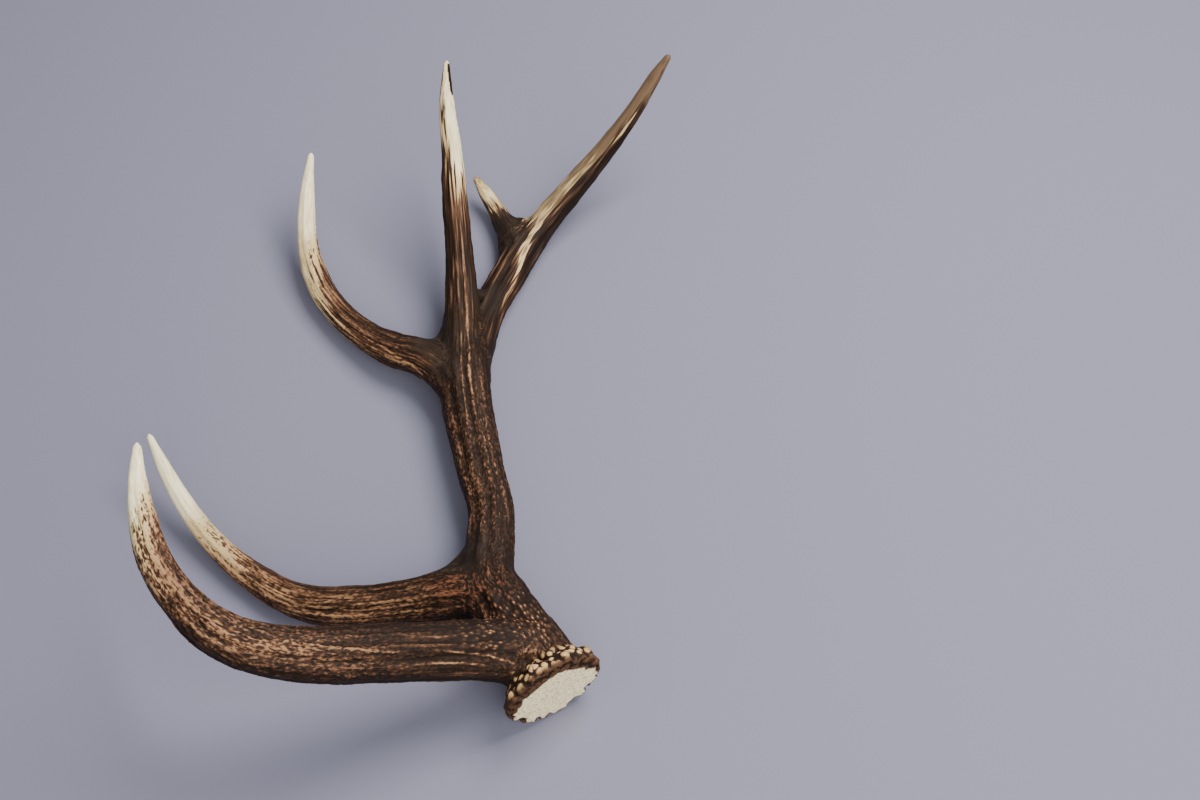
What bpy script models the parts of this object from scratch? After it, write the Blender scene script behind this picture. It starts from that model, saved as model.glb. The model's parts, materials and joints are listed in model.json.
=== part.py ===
"""Red deer antler, sawn off flat below the burr and lying on a surface.

Metres, +Z up, the surface at z = 0 and the origin under the middle of the antler.
Every branch is a tube drawn through stations of (x, y, z, radius) in millimetres.
The tubes and the pearls of the burr are fused into one skin, the forks are softened into
webs, the burr is sawn flat, and the skin is split at its main forks into the nodes.
"""
import math

import bmesh
import bpy
from mathutils import Matrix, Vector

MM = 0.001
WELD = 0.00001
OBJECT_NAME = "deer_antler"

# ---------------------------------------------------------------- driving values (mm)
BEAM = (
    (132, -299, 42.5, 30), (118, -268, 42.5, 28.5), (108, -252, 42, 28), (95, -233, 42, 26),
    (82, -212, 41, 25), (70.7, -186, 39, 22), (71, -154, 37, 20.3), (69.5, -120, 35, 19.3),
    (60.5, -87, 33, 20), (51.6, -48, 32, 21.1), (44.4, -15, 32, 22), (39.5, 20, 33, 22.5),
    (42, 64, 33, 17),
)
BROW_TINE = (
    (109, -258, 47, 27), (77, -260, 62, 24.5), (38, -269, 81, 22.5), (-5, -280, 104, 22),
    (-47, -290, 125, 21), (-81, -293, 141, 19.2), (-114, -287, 156, 17.2),
    (-142.7, -266.6, 169, 14), (-164, -239.4, 179, 12.6), (-176.5, -208, 187, 10.3),
    (-183.7, -178, 193, 7), (-187, -153, 197, 3.5), (-187.5, -149, 198, 1.5),
)
BEZ_TINE = (
    (76, -200, 41, 24), (42, -200.5, 36, 22.5), (0, -203.5, 29, 17.5), (-46, -204.5, 21.5, 16.8),
    (-90, -197, 15.7, 14.5), (-135, -171, 13.2, 12), (-170, -142, 17.5, 9.7),
    (-196, -112, 29, 8), (-214, -85, 42, 6.2), (-228, -60, 55, 3), (-229.6, -57, 56.5, 1.2),
)
TREZ_TINE = (
    (40, 3, 34, 20), (8, 36, 30, 18.5), (-27, 52, 25, 15.5), (-56, 72, 20.5, 13.5),
    (-86.8, 103, 18.5, 12.5), (-107.8, 137, 22, 11.8), (-118.6, 173.5, 33, 9.2), (-120.4, 211, 49, 7.3),
    (-118, 251, 67, 3.2), (-117.8, 254, 68.2, 1.5),
)
CROWN_FRONT_TINE = (
    (42, -8, 35, 17), (38, 45, 37, 17.5), (35, 96, 44, 15), (31, 143, 59, 12.5),
    (26.8, 185, 81, 11.8), (23.6, 225, 106, 9.4), (19.6, 258, 131, 7.1), (19.6, 288.5, 153.5, 3.2),
    (19.6, 291, 155.5, 1.4),
)
CROWN_REAR_TINE = (
    (46, -6, 32, 17), (50, 50, 29, 16), (60, 101, 23, 15.5), (75, 140, 19, 16.5),
    (90, 174, 18.5, 16.5), (110, 202, 27, 13.8), (136.4, 228, 44, 12.4), (167.5, 256, 68, 10.1),
    (195.4, 281, 96, 8.1), (216.5, 303, 122, 6), (228.6, 313, 138, 3.2), (230.2, 313.8, 140, 1.4),
)
CROWN_BACK_POINT = (
    (87, 175, 20, 16), (70, 206, 16, 12), (59, 227, 18, 9), (50, 241, 22, 7),
    (40, 255, 28, 3.5), (38.5, 257, 29, 1.5),
)
BRANCHES = {
    "beam": BEAM,
    "brow_tine": BROW_TINE,
    "bez_tine": BEZ_TINE,
    "trez_tine": TREZ_TINE,
    "crown_front_tine": CROWN_FRONT_TINE,
    "crown_rear_tine": CROWN_REAR_TINE,
    "crown_back_point": CROWN_BACK_POINT,
}
# Short tubes that round the inner corners above the bez tine, above the trez tine, between
# the crown's two tines, and on both sides of the back point.
CORNER_FILLS = (
    ((24, -190, 36, 8), (44, -174, 38, 6), (60, -156, 38, 8)),
    ((-4, 46, 30, 8), (17, 57, 34, 6), (27, 82, 38, 8)),
    ((38, 104, 42, 8), (49.5, 108, 34, 6), (61, 112, 25, 8)),
    ((73, 206, 17, 7), (87, 205, 19, 7), (103, 203, 25, 7)),
    ((67, 200, 16, 7), (71, 173, 17, 6.5), (74, 150, 18, 7)),
)

# Where each tine is split from what carries it: (x, y, z) on its centreline, and the reach
# of the cut, which takes in the whole tine there and nothing else.
FORKS = {
    "brow_tine": ((38, -270, 81), 42),
    "bez_tine": ((15, -201, 31.5), 34),
    "trez_tine": ((-11, 44, 29), 30),
    "crown_front_tine": ((33, 122, 52), 25),
    "crown_rear_tine": ((71, 123, 21), 30),
    "crown_back_point": ((68, 210, 16), 20),
}
GAP = 0.3

SAWN_FACE = (128.1, -287.6, 42.6)
BURR_AXIS = (-0.51, 0.86, -0.05)
SAW_REACH = 60
BURR_RING_RADIUS = 33
BURR_RING_THICKNESS = 8
BURR_RING_SET_BACK = 7
BURR_RING_SEGMENTS = (96, 24)
PEARL_ROWS = (
    # pearls, ring radius, pearl radius, distance behind the sawn face
    (22, 36, 6.2, 5.8),
    (19, 32, 4.8, 13),
)
PEARL_STRETCH = (1.0, 0.92, 1.25)
PEARL_TURN_SPREAD = 0.16
PEARL_SHIFT_SPREAD = 0.8
PEARL_SIZE_SPREAD = 0.12

# Ridges run along each branch: (ridges around it, height as a share of its radius, phase)
RIDGES = ((7, 0.045, 0.4), (11, 0.030, 1.9), (3, 0.035, 2.6))
PROFILE_POINTS = 66
STEPS_BETWEEN_STATIONS = 10
RIDGE_TWIST = 0.22
TWIST_STEP = 1.3
LUMP_HEIGHT = 1.6
LUMP_SIZE = 14

SKIN_VOXEL = 1.7
WEB_REACH = 40
WEB_SMOOTHING = (60, 0.6)
SKIN_SMOOTHING = (3, 0.5)
SKIN_TRIANGLES = 8800
SHARP_ANGLE = math.radians(50)

# colour (linear), roughness
DARK_HORN = ((0.060, 0.034, 0.020, 1.0), 0.55)
TAN_HORN = ((0.130, 0.075, 0.042, 1.0), 0.50)
PALE_HORN = ((0.420, 0.340, 0.230, 1.0), 0.42)
NODE_FINISH = {
    "beam": DARK_HORN,
    "brow_tine": DARK_HORN,
    "bez_tine": TAN_HORN,
    "trez_tine": TAN_HORN,
    "crown_front_tine": TAN_HORN,
    "crown_rear_tine": TAN_HORN,
    "crown_back_point": PALE_HORN,
}


# ---------------------------------------------------------------- scene and objects
def clear_scene():
    """Start from an empty file."""
    for obj in list(bpy.data.objects):
        bpy.data.objects.remove(obj, do_unlink=True)


def new_collection(name):
    """Return a new collection linked to the scene."""
    collection = bpy.data.collections.new(name)
    bpy.context.scene.collection.children.link(collection)
    return collection


def as_guide(obj):
    """Mark an object that only helps to shape others."""
    obj.hide_render = True
    obj.display_type = "WIRE"


def evaluated_mesh(obj):
    """Return a new mesh of the object with its modifiers applied."""
    depsgraph = bpy.context.evaluated_depsgraph_get()
    return bpy.data.meshes.new_from_object(obj.evaluated_get(depsgraph))


def station_point(station):
    """Return a station's place in metres."""
    return Vector(station[:3]) * MM


# ---------------------------------------------------------------- branches
def ridge_profile(guides):
    """Return the closed cross-section of a branch, 1 mm in radius, with its ridges."""
    curve = bpy.data.curves.new("ridge_profile", "CURVE")
    curve.dimensions = "2D"
    spline = curve.splines.new("POLY")
    spline.points.add(PROFILE_POINTS - 1)
    for index, point in enumerate(spline.points):
        angle = 2.0 * math.pi * index / PROFILE_POINTS
        radius = MM * (1.0 + sum(height * math.cos(count * angle + phase)
                                 for count, height, phase in RIDGES))
        point.co = (radius * math.cos(angle), radius * math.sin(angle), 0.0, 1.0)
    spline.use_cyclic_u = True
    obj = bpy.data.objects.new("ridge_profile", curve)
    guides.objects.link(obj)
    as_guide(obj)
    return obj


def tube_mesh(stations, profile, guides):
    """Return the mesh of a ridged tube through the stations."""
    curve = bpy.data.curves.new("tube", "CURVE")
    curve.dimensions = "3D"
    curve.resolution_u = STEPS_BETWEEN_STATIONS
    curve.bevel_mode = "OBJECT"
    curve.bevel_object = profile
    curve.use_fill_caps = True
    spline = curve.splines.new("BEZIER")
    spline.bezier_points.add(len(stations) - 1)
    for index, (point, station) in enumerate(zip(spline.bezier_points, stations)):
        point.co = station_point(station)
        point.handle_left_type = "AUTO"
        point.handle_right_type = "AUTO"
        point.radius = station[3]
        point.tilt = RIDGE_TWIST * math.sin(TWIST_STEP * index)
    spline.radius_interpolation = "CARDINAL"
    obj = bpy.data.objects.new("tube", curve)
    guides.objects.link(obj)
    mesh = evaluated_mesh(obj)
    bpy.data.objects.remove(obj, do_unlink=True)
    return mesh


# ---------------------------------------------------------------- burr
def burr_frame():
    """Return the matrix that puts the burr's own Z along the beam, from the sawn face up."""
    turn = Vector(BURR_AXIS).to_track_quat("Z", "Y").to_matrix().to_4x4()
    return Matrix.Translation(Vector(SAWN_FACE) * MM) @ turn


def burr_ring():
    """Return the mesh of the ring that carries the pearls, lying in the burr's own frame."""
    around, across = BURR_RING_SEGMENTS
    bpy.ops.mesh.primitive_torus_add(
        major_segments=around, minor_segments=across,
        major_radius=BURR_RING_RADIUS * MM, minor_radius=BURR_RING_THICKNESS * MM,
        location=(0.0, 0.0, BURR_RING_SET_BACK * MM))
    obj = bpy.context.active_object
    mesh = obj.data.copy()
    mesh.transform(obj.matrix_basis)
    bpy.data.objects.remove(obj, do_unlink=True)
    return mesh


def add_pearls(bm, frame):
    """Add the rows of pearls around the burr, each a little out of line with the next."""
    stretch = Matrix.Diagonal((*PEARL_STRETCH, 1.0))
    for row, (count, ring_radius, pearl_radius, set_back) in enumerate(PEARL_ROWS):
        for index in range(count):
            wave = math.sin(5.1 * index + 2.0 * row)
            size_wave = math.sin(3.7 * index + row)
            angle = 2.0 * math.pi * (index + PEARL_TURN_SPREAD * wave) / count
            turn = Matrix.Rotation(angle, 4, "Z")
            height = set_back + PEARL_SHIFT_SPREAD * wave
            shift = Matrix.Translation(Vector((ring_radius, 0.0, height)) * MM)
            bmesh.ops.create_icosphere(
                bm, subdivisions=3, radius=pearl_radius * (1.0 + PEARL_SIZE_SPREAD * size_wave) * MM,
                matrix=frame @ turn @ shift @ stretch)


# ---------------------------------------------------------------- fused skin
def overlapping_shells(guides):
    """Return one mesh that holds every branch and the burr as shells that overlap."""
    profile = ridge_profile(guides)
    frame = burr_frame()
    bm = bmesh.new()
    for stations in (*BRANCHES.values(), *CORNER_FILLS):
        bm.from_mesh(tube_mesh(stations, profile, guides))
    ring = burr_ring()
    ring.transform(frame)
    bm.from_mesh(ring)
    add_pearls(bm, frame)
    bmesh.ops.remove_doubles(bm, verts=bm.verts, dist=WELD)
    mesh = bpy.data.meshes.new("shells")
    bm.to_mesh(mesh)
    bm.free()
    return mesh


def mark_webs(obj):
    """Weight the skin around each fork, full near the fork and nothing at the web's reach."""
    group = obj.vertex_groups.new(name="webs")
    roots = [station_point(BRANCHES[name][1]) for name in FORKS]
    for vertex in obj.data.vertices:
        distance = min((vertex.co - root).length for root in roots)
        nearness = 1.0 - distance / (WEB_REACH * MM)
        if nearness > 0.0:
            group.add([vertex.index], min(1.0, 2.0 * nearness), "REPLACE")


def add_smoothing(obj, name, amount):
    """Add a smoothing of (iterations, factor) to the object and return it."""
    modifier = obj.modifiers.new(name, "SMOOTH")
    modifier.iterations, modifier.factor = amount
    return modifier


def add_lumps(obj):
    """Raise low uneven lumps all over the skin."""
    texture = bpy.data.textures.new("lumps", "CLOUDS")
    texture.noise_scale = LUMP_SIZE * MM
    texture.noise_depth = 1
    lumps = obj.modifiers.new("lumps", "DISPLACE")
    lumps.texture = texture
    lumps.texture_coords = "LOCAL"
    lumps.strength = LUMP_HEIGHT * MM
    lumps.mid_level = 0.5


def fused_skin(guides):
    """Fuse the shells into one closed skin with softened forks, in few triangles."""
    obj = bpy.data.objects.new("skin", overlapping_shells(guides))
    guides.objects.link(obj)
    remesh = obj.modifiers.new("fuse", "REMESH")
    remesh.mode = "VOXEL"
    remesh.voxel_size = SKIN_VOXEL * MM
    obj.data = evaluated_mesh(obj)
    obj.modifiers.clear()

    mark_webs(obj)
    add_smoothing(obj, "webs", WEB_SMOOTHING).vertex_group = "webs"
    add_smoothing(obj, "even", SKIN_SMOOTHING)
    add_lumps(obj)
    thin = obj.modifiers.new("thin", "DECIMATE")
    thin.ratio = SKIN_TRIANGLES / (2.0 * len(obj.data.polygons))
    thin.use_collapse_triangulate = True
    mesh = evaluated_mesh(obj)
    bpy.data.objects.remove(obj, do_unlink=True)
    return mesh


# ---------------------------------------------------------------- cuts
def faces_near(bm, point, reach):
    """Return the faces within reach of the point."""
    return [face for face in bm.faces if (face.calc_center_median() - point).length < reach]


def cut_through(bm, point, normal, reach):
    """Cut the faces within reach of the point along a plane through it."""
    faces = faces_near(bm, point, reach)
    edges = {edge for face in faces for edge in face.edges}
    verts = {vert for face in faces for vert in face.verts}
    bmesh.ops.bisect_plane(
        bm, geom=[*verts, *edges, *faces], plane_co=point, plane_no=normal, dist=WELD)


def delete_and_close(bm, faces):
    """Delete the faces and close each open loop that this leaves with one flat face."""
    bmesh.ops.delete(bm, geom=faces, context="FACES")
    rim = [edge for edge in bm.edges if edge.is_boundary]
    bmesh.ops.holes_fill(bm, edges=rim, sides=0)


def saw_burr(bm):
    """Cut the foot of the beam off flat."""
    frame = burr_frame()
    point = frame.translation
    normal = frame.col[2].to_3d()
    cut_through(bm, point, normal, SAW_REACH * MM)
    waste = [face for face in faces_near(bm, point, SAW_REACH * MM)
             if (face.calc_center_median() - point).dot(normal) < 0.0]
    delete_and_close(bm, waste)


def split_fork(bm, name):
    """Part a tine from what carries it, by two cuts a gap apart."""
    place, reach = FORKS[name]
    point = Vector(place) * MM
    stations = [station_point(station) for station in BRANCHES[name]]
    nearest = min(range(1, len(stations) - 1), key=lambda i: (stations[i] - point).length)
    normal = (stations[nearest + 1] - stations[nearest - 1]).normalized()
    half_gap = 0.5 * GAP * MM
    for side in (-half_gap, half_gap):
        cut_through(bm, point + side * normal, normal, reach * MM)
    slab = [face for face in faces_near(bm, point, reach * MM)
            if abs((face.calc_center_median() - point).dot(normal)) < half_gap - WELD]
    delete_and_close(bm, slab)


# ---------------------------------------------------------------- nodes
def island_of(vert):
    """Return every vertex joined to this one."""
    found = {vert}
    border = [vert]
    while border:
        for edge in border.pop().link_edges:
            for other in edge.verts:
                if other not in found:
                    found.add(other)
                    border.append(other)
    return found


def node_mesh(bm, name):
    """Return the mesh of the closed piece that holds the middle of the branch."""
    stations = BRANCHES[name]
    middle = station_point(stations[len(stations) // 2])
    piece = bm.copy()
    island = island_of(min(piece.verts, key=lambda vert: (vert.co - middle).length))
    others = [vert for vert in piece.verts if vert not in island]
    bmesh.ops.delete(piece, geom=others, context="VERTS")
    bmesh.ops.triangulate(piece, faces=[face for face in piece.faces if len(face.verts) > 3])
    bmesh.ops.recalc_face_normals(piece, faces=piece.faces)
    mesh = bpy.data.meshes.new(name)
    piece.to_mesh(mesh)
    piece.free()
    mesh.shade_smooth()
    mesh.set_sharp_from_angle(angle=SHARP_ANGLE)
    return mesh


def horn_material(name, finish):
    """Return a node's material."""
    colour, roughness = finish
    material = bpy.data.materials.new(name + "_horn")
    material.use_nodes = True
    shader = material.node_tree.nodes["Principled BSDF"]
    shader.inputs["Base Color"].default_value = colour
    shader.inputs["Roughness"].default_value = roughness
    shader.inputs["Metallic"].default_value = 0.0
    return material


def rest_shift(bm):
    """Return the move that puts the middle of the box over the origin, standing on z = 0."""
    low = [min(vert.co[axis] for vert in bm.verts) for axis in range(3)]
    high = [max(vert.co[axis] for vert in bm.verts) for axis in range(3)]
    return Vector((-0.5 * (low[0] + high[0]), -0.5 * (low[1] + high[1]), -low[2]))


def main():
    """Build the antler."""
    clear_scene()
    antler = new_collection(OBJECT_NAME)
    guides = new_collection("guides")
    bm = bmesh.new()
    bm.from_mesh(fused_skin(guides))
    saw_burr(bm)
    for name in FORKS:
        split_fork(bm, name)
    shift = rest_shift(bm)
    for name in BRANCHES:
        mesh = node_mesh(bm, name)
        mesh.transform(Matrix.Translation(shift))
        mesh.materials.append(horn_material(name, NODE_FINISH[name]))
        antler.objects.link(bpy.data.objects.new(name, mesh))
    bm.free()


main()
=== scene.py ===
"""The looks of a red deer antler that lies on a pale floor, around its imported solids.

Every branch is a ringed tube through stations of (x, y, z, radius) in millimetres, the same
stations as in the solids. The tubes and the burr are fused into one fine skin, the skin gets
its lumps, ridges and pearls in coordinates that run along each branch, and it is parted at
the main forks into one piece for each node.
"""
from __future__ import annotations

import json
import logging
import math
from collections.abc import Iterable
from dataclasses import dataclass, field
from enum import Enum

import bmesh
import bpy
import numpy as np
from mathutils import Matrix, Vector, geometry

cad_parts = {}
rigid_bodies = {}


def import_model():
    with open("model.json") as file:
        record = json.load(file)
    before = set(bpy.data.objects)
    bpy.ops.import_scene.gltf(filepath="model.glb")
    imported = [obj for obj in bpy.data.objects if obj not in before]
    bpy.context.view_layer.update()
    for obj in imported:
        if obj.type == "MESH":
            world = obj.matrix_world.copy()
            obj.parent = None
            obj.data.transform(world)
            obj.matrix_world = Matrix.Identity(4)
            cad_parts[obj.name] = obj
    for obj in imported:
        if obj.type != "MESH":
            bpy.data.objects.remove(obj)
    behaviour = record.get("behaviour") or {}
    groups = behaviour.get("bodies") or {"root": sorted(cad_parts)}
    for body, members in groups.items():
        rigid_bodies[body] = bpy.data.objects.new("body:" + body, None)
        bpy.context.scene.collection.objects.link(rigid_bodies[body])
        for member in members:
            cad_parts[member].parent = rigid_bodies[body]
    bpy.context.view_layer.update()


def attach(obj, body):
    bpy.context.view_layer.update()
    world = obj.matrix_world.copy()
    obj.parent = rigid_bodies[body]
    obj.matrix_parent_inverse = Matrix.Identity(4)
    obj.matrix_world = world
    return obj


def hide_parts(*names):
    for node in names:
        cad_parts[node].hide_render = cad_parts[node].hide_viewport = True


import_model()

LOG = logging.getLogger("antler")
MM = 0.001
ON_PLANE = 1e-7                # metres within which a point lies on a cutting plane
BODY = "root"
Colour = tuple[float, float, float, float]
Numbers = np.ndarray
Station = tuple[float, float, float, float]
Span = tuple[float, float]


def shade(red: int, green: int, blue: int) -> Colour:
    """Return a display colour as the linear colour that a shader takes.

    Args:
        red: The red share, 0 to 255.
        green: The green share, 0 to 255.
        blue: The blue share, 0 to 255.

    Returns:
        The colour, with an alpha of 1.
    """
    def linear(value: int) -> float:
        """Return one share as a linear value, 0 to 1."""
        share = value / 255.0
        return share / 12.92 if share <= 0.04045 else ((share + 0.055) / 1.055) ** 2.4
    return linear(red), linear(green), linear(blue), 1.0


def smoothstep(low: float, high: float, value: Numbers) -> Numbers:
    """Return 0 below low and 1 above high, with a smooth rise in between."""
    share = np.clip((value - low) / (high - low), 0.0, 1.0)
    return share * share * (3.0 - 2.0 * share)


def column(items: bpy.types.bpy_prop_collection, key: str, width: int = 1,
           kind: type = np.float32) -> Numbers:
    """Return one value of every item of a mesh.

    Args:
        items: Points, edges, loops or an attribute's data.
        key: The value's name.
        width: How many numbers it has.
        kind: The numbers' type.

    Returns:
        The values, in rows where each has several numbers.
    """
    values = np.empty(len(items) * width, dtype=kind)
    items.foreach_get(key, values)
    return values.reshape(-1, width) if width > 1 else values


def places_of(mesh: bpy.types.Mesh) -> Numbers:
    """Return a mesh's points in mm."""
    return column(mesh.vertices, "co", 3, float) / MM


def normals_of(mesh: bpy.types.Mesh) -> Numbers:
    """Return a mesh's smooth normals at its points."""
    return column(mesh.vertex_normals, "vector", 3).astype(float)


def once(items: Iterable) -> list:
    """Return items without repeats, in an order that is the same in each run."""
    return list(dict.fromkeys(items))


def finished(bm: bmesh.types.BMesh, name: str) -> bpy.types.Mesh:
    """Make a mesh of a bmesh, and free it.

    Args:
        bm: The bmesh.
        name: The mesh's name.

    Returns:
        The mesh.
    """
    mesh = bpy.data.meshes.new(name)
    bm.to_mesh(mesh)
    bm.free()
    return mesh


def added(name: str, data: bpy.types.ID) -> bpy.types.Object:
    """Add an object to the scene.

    Args:
        name: The object's name.
        data: Its mesh, light or camera.

    Returns:
        The object.
    """
    obj = bpy.data.objects.new(name, data)
    bpy.context.scene.collection.objects.link(obj)
    return obj


def evaluated(obj: bpy.types.Object) -> bpy.types.Mesh:
    """Return a new mesh of the object with its modifiers applied."""
    depsgraph = bpy.context.evaluated_depsgraph_get()
    return bpy.data.meshes.new_from_object(obj.evaluated_get(depsgraph))


class Field(Enum):
    """The values that the skin's points carry to the material."""

    STRAIGHT = "straight"      # (along, across, across) in mm, as if the branch were straight
    NORMAL = "skin_normal"     # the fused skin's own normal
    LIGHT = "light"            # share of light marks among the dark furrows, with painted shade on the sides and underside
    RIB = "rib"                # long bright ridges
    IVORY = "ivory"            # how far the tip's bare ivory has come
    STAIN = "stain"            # how brown the bare ivory is
    ALONG = "along"            # share of long ridges against short beads
    EDGE = "edge"              # 1 inside a branch, 0 where two branches meet
    WEB = "web"                # smooth dark skin in the forks
    DOTTED = "dotted"          # small round pearls near the burr
    BURR = "burr"              # nearness to the pearls of the burr
    SAWN = "sawn"              # the pale core of the sawn face
    CREAM = "cream"            # pale tops of the burr's upper pearls: partly wear, partly painted highlight
    RED = "red"                # reddish horn
    RELIEF = "relief"          # how far a point stands out from the skin around it, in mm


def store(mesh: bpy.types.Mesh, name: Field, values: Numbers) -> None:
    """Store values on a mesh's points.

    Args:
        mesh: The mesh.
        name: What the values say.
        values: One number, or a row of three, for each point.
    """
    kind, key = ("FLOAT_VECTOR", "vector") if values.ndim == 2 else ("FLOAT", "value")
    layer = mesh.attributes.new(name.value, kind, "POINT")
    layer.data.foreach_set(key, np.ascontiguousarray(values, dtype=np.float32).ravel())


# ---------------------------------------------------------------- shader and field graphs
class Sock:
    """One output of a node, which can be used in sums, differences and products."""

    def __init__(self, graph: "Graph", socket: bpy.types.NodeSocket) -> None:
        """Keep the graph and the socket."""
        self.graph = graph
        self.socket = socket

    def __add__(self, other: "Sock | float") -> "Sock":
        """Return self + other."""
        return self.graph.maths("ADD", self, other)

    __radd__ = __add__

    def __mul__(self, other: "Sock | float") -> "Sock":
        """Return self * other."""
        return self.graph.maths("MULTIPLY", self, other)

    __rmul__ = __mul__

    def __sub__(self, other: "Sock | float") -> "Sock":
        """Return self - other."""
        return self.graph.maths("SUBTRACT", self, other)

    def __rsub__(self, other: float) -> "Sock":
        """Return other - self."""
        return self.graph.maths("SUBTRACT", other, self)


class Graph:
    """A node tree under construction."""

    def __init__(self, tree: bpy.types.NodeTree) -> None:
        """Keep the tree."""
        self.tree = tree

    def node(self, kind: str, settings: dict | None = None, inputs: dict | None = None,
             output: str | int = 0) -> Sock:
        """Add a node and return one of its outputs.

        Args:
            kind: The node's type.
            settings: Attributes of the node, set before anything is plugged in.
            inputs: Values or sockets for its inputs, by name or number.
            output: Name or number of the output to return.

        Returns:
            The output, ready for more maths.
        """
        node = self.tree.nodes.new(kind)
        for name, value in (settings or {}).items():
            setattr(node, name, value)
        for name, value in (inputs or {}).items():
            self.plug(node.inputs[name], value)
        return Sock(self, node.outputs[output] if len(node.outputs) else None)

    def plug(self, socket: bpy.types.NodeSocket, value: "Sock | float | Colour") -> None:
        """Link or set one input.

        Args:
            socket: The input.
            value: The output to link to it, or the value to set.
        """
        if isinstance(value, Sock):
            self.tree.links.new(value.socket, socket)
        else:
            socket.default_value = value

    def maths(self, operation: str, *values: "Sock | float") -> Sock:
        """Return a Math node's result."""
        return self.node("ShaderNodeMath", {"operation": operation}, dict(enumerate(values)))

    def rise(self, value: "Sock", low: float, high: float) -> Sock:
        """Add a smooth rise from 0 to 1.

        Args:
            value: What the rise follows.
            low: The value up to which it is 0.
            high: The value from which it is 1.

        Returns:
            The rise.
        """
        return self.node(
            "ShaderNodeMapRange", {"interpolation_type": "SMOOTHSTEP"},
            {"Value": value, "From Min": low, "From Max": high})

    def blend(self, share: "Sock | float", first: "Sock | Colour", second: "Sock | Colour") -> Sock:
        """Return a mix of two colours."""
        return self.node(
            "ShaderNodeMix", {"data_type": "RGBA"}, {0: share, 6: first, 7: second}, output=2)

    def field(self, name: Field) -> Sock:
        """Return a single value that the skin's points carry."""
        return self.node("ShaderNodeAttribute", {"attribute_name": name.value}, output="Fac")

    def in_mm(self, place: Sock) -> Sock:
        """Return a place in metres as one in mm."""
        return self.node("ShaderNodeVectorMath", {"operation": "SCALE"}, {0: place, "Scale": 1.0 / MM})

    def stretched(self, place: Sock, along: float, across: float, offset: float = 0.0) -> Sock:
        """Return a place in units of a pattern's grain.

        Args:
            place: The place in mm.
            along: The grain's size along a branch, in mm.
            across: Its size across, in mm.
            offset: How far the pattern is moved, in units of its grain.

        Returns:
            The place to read the pattern at.
        """
        scale = (1.0 / along, 1.0 / across, 1.0 / across)
        return self.node("ShaderNodeVectorMath", {"operation": "MULTIPLY_ADD"},
                         {0: place, 1: scale, 2: (offset, offset, offset)})


@dataclass(frozen=True)
class Noise:
    """A noise pattern with its own grain size along and across a branch, in mm."""

    along: float
    across: float
    detail: float = 1.0
    roughness: float = 0.5
    distortion: float = 0.0
    straight: bool = True
    offset: float = 0.0

    def add(self, graph: Graph, place: Sock) -> Sock:
        """Add the pattern to a graph.

        Args:
            graph: The shader's or the field's graph.
            place: The place it is read at, in mm.

        Returns:
            The noise, about 0.5 on average.
        """
        where = graph.stretched(place, self.along, self.across, self.offset)
        return graph.node(
            "ShaderNodeTexNoise", {},
            {"Vector": where, "Scale": 1.0, "Detail": self.detail,
             "Roughness": self.roughness, "Distortion": self.distortion}, output="Fac")


@dataclass(frozen=True)
class Curls:
    """A pattern of thin winding ridges, with a grain size along and across a branch, in mm."""

    along: float
    across: float
    contrast: float = 1.9
    gaps: float = 0.45         # how strongly the ridges are broken into beads
    even: float = 0.085        # distance from a ridge's crest that half of the skin lies within
    straight: bool = True

    BEAD_LENGTH = 0.62         # a bead's size along and across, as shares of the ridges' own
    BEAD_WIDTH = 0.95
    BEAD_EVEN = 0.53           # distance from a bead's middle that half of the skin lies within
    BEND = 0.5                 # how strongly the ridges wind
    RIDGE_OFFSET = 2.7         # how far they are moved, in units of their grain

    def add(self, graph: Graph, place: Sock) -> Sock:
        """Add the pattern to a graph.

        Args:
            graph: The shader's or the field's graph.
            place: The place it is read at, in mm.

        Returns:
            The pattern, about 0.5 on average and highest on a ridge's crest.
        """
        winding = Noise(self.along, self.across, distortion=self.BEND, offset=self.RIDGE_OFFSET)
        beads = Knobs(
            self.BEAD_LENGTH * self.along, self.BEAD_WIDTH * self.across, even=self.BEAD_EVEN)
        aside = graph.maths("ABSOLUTE", winding.add(graph, place) - 0.5)
        pieces = (beads.add(graph, place) - 0.5) * self.gaps
        return (self.even - aside) * self.contrast + pieces + 0.5


@dataclass(frozen=True)
class Knobs:
    """A pattern of round knobs with gaps between them, with a size along and across, in mm."""

    along: float
    across: float
    contrast: float = 1.0
    even: float = 0.5          # distance from a knob's middle that half of the skin lies within
    straight: bool = False

    def add(self, graph: Graph, place: Sock) -> Sock:
        """Add the pattern to a graph.

        Args:
            graph: The shader's or the field's graph.
            place: The place it is read at, in mm.

        Returns:
            The pattern, about 0.5 on average and highest on a knob.
        """
        where = graph.stretched(place, self.along, self.across)
        distance = graph.node(
            "ShaderNodeTexVoronoi", {"feature": "F1"}, {"Vector": where, "Scale": 1.0},
            output="Distance")
        return (self.even - distance) * self.contrast + 0.5


# Everything that colours or shapes the skin, by name.
PATTERNS = {
    "beads": Curls(along=6.6, across=2.5),
    "ridges": Noise(along=46.0, across=2.0, detail=1.5, offset=7.3),
    "swells": Noise(along=130.0, across=5.0, offset=17.3),
    "pearls": Curls(along=4.0, across=4.0, straight=False),
    "dots": Knobs(along=5.4, across=3.1, contrast=0.85, straight=True),
    "knobs": Knobs(along=6.2, across=6.2),
    "streaks": Noise(along=24.0, across=1.4, detail=2.0, offset=11.7),
    "lumps": Noise(along=15.0, across=15.0, straight=False),
    "tones": Noise(along=42.0, across=42.0, detail=2.0, straight=False, offset=5.9),
    "pits": Noise(along=2.2, across=2.2, detail=2.0, roughness=0.65, straight=False, offset=4.4),
    "grain": Noise(along=0.7, across=0.7, detail=2.0, straight=False, offset=1.3),
}
SHAPING = ("beads", "ridges", "swells", "pearls", "dots", "knobs", "streaks", "lumps")
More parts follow.
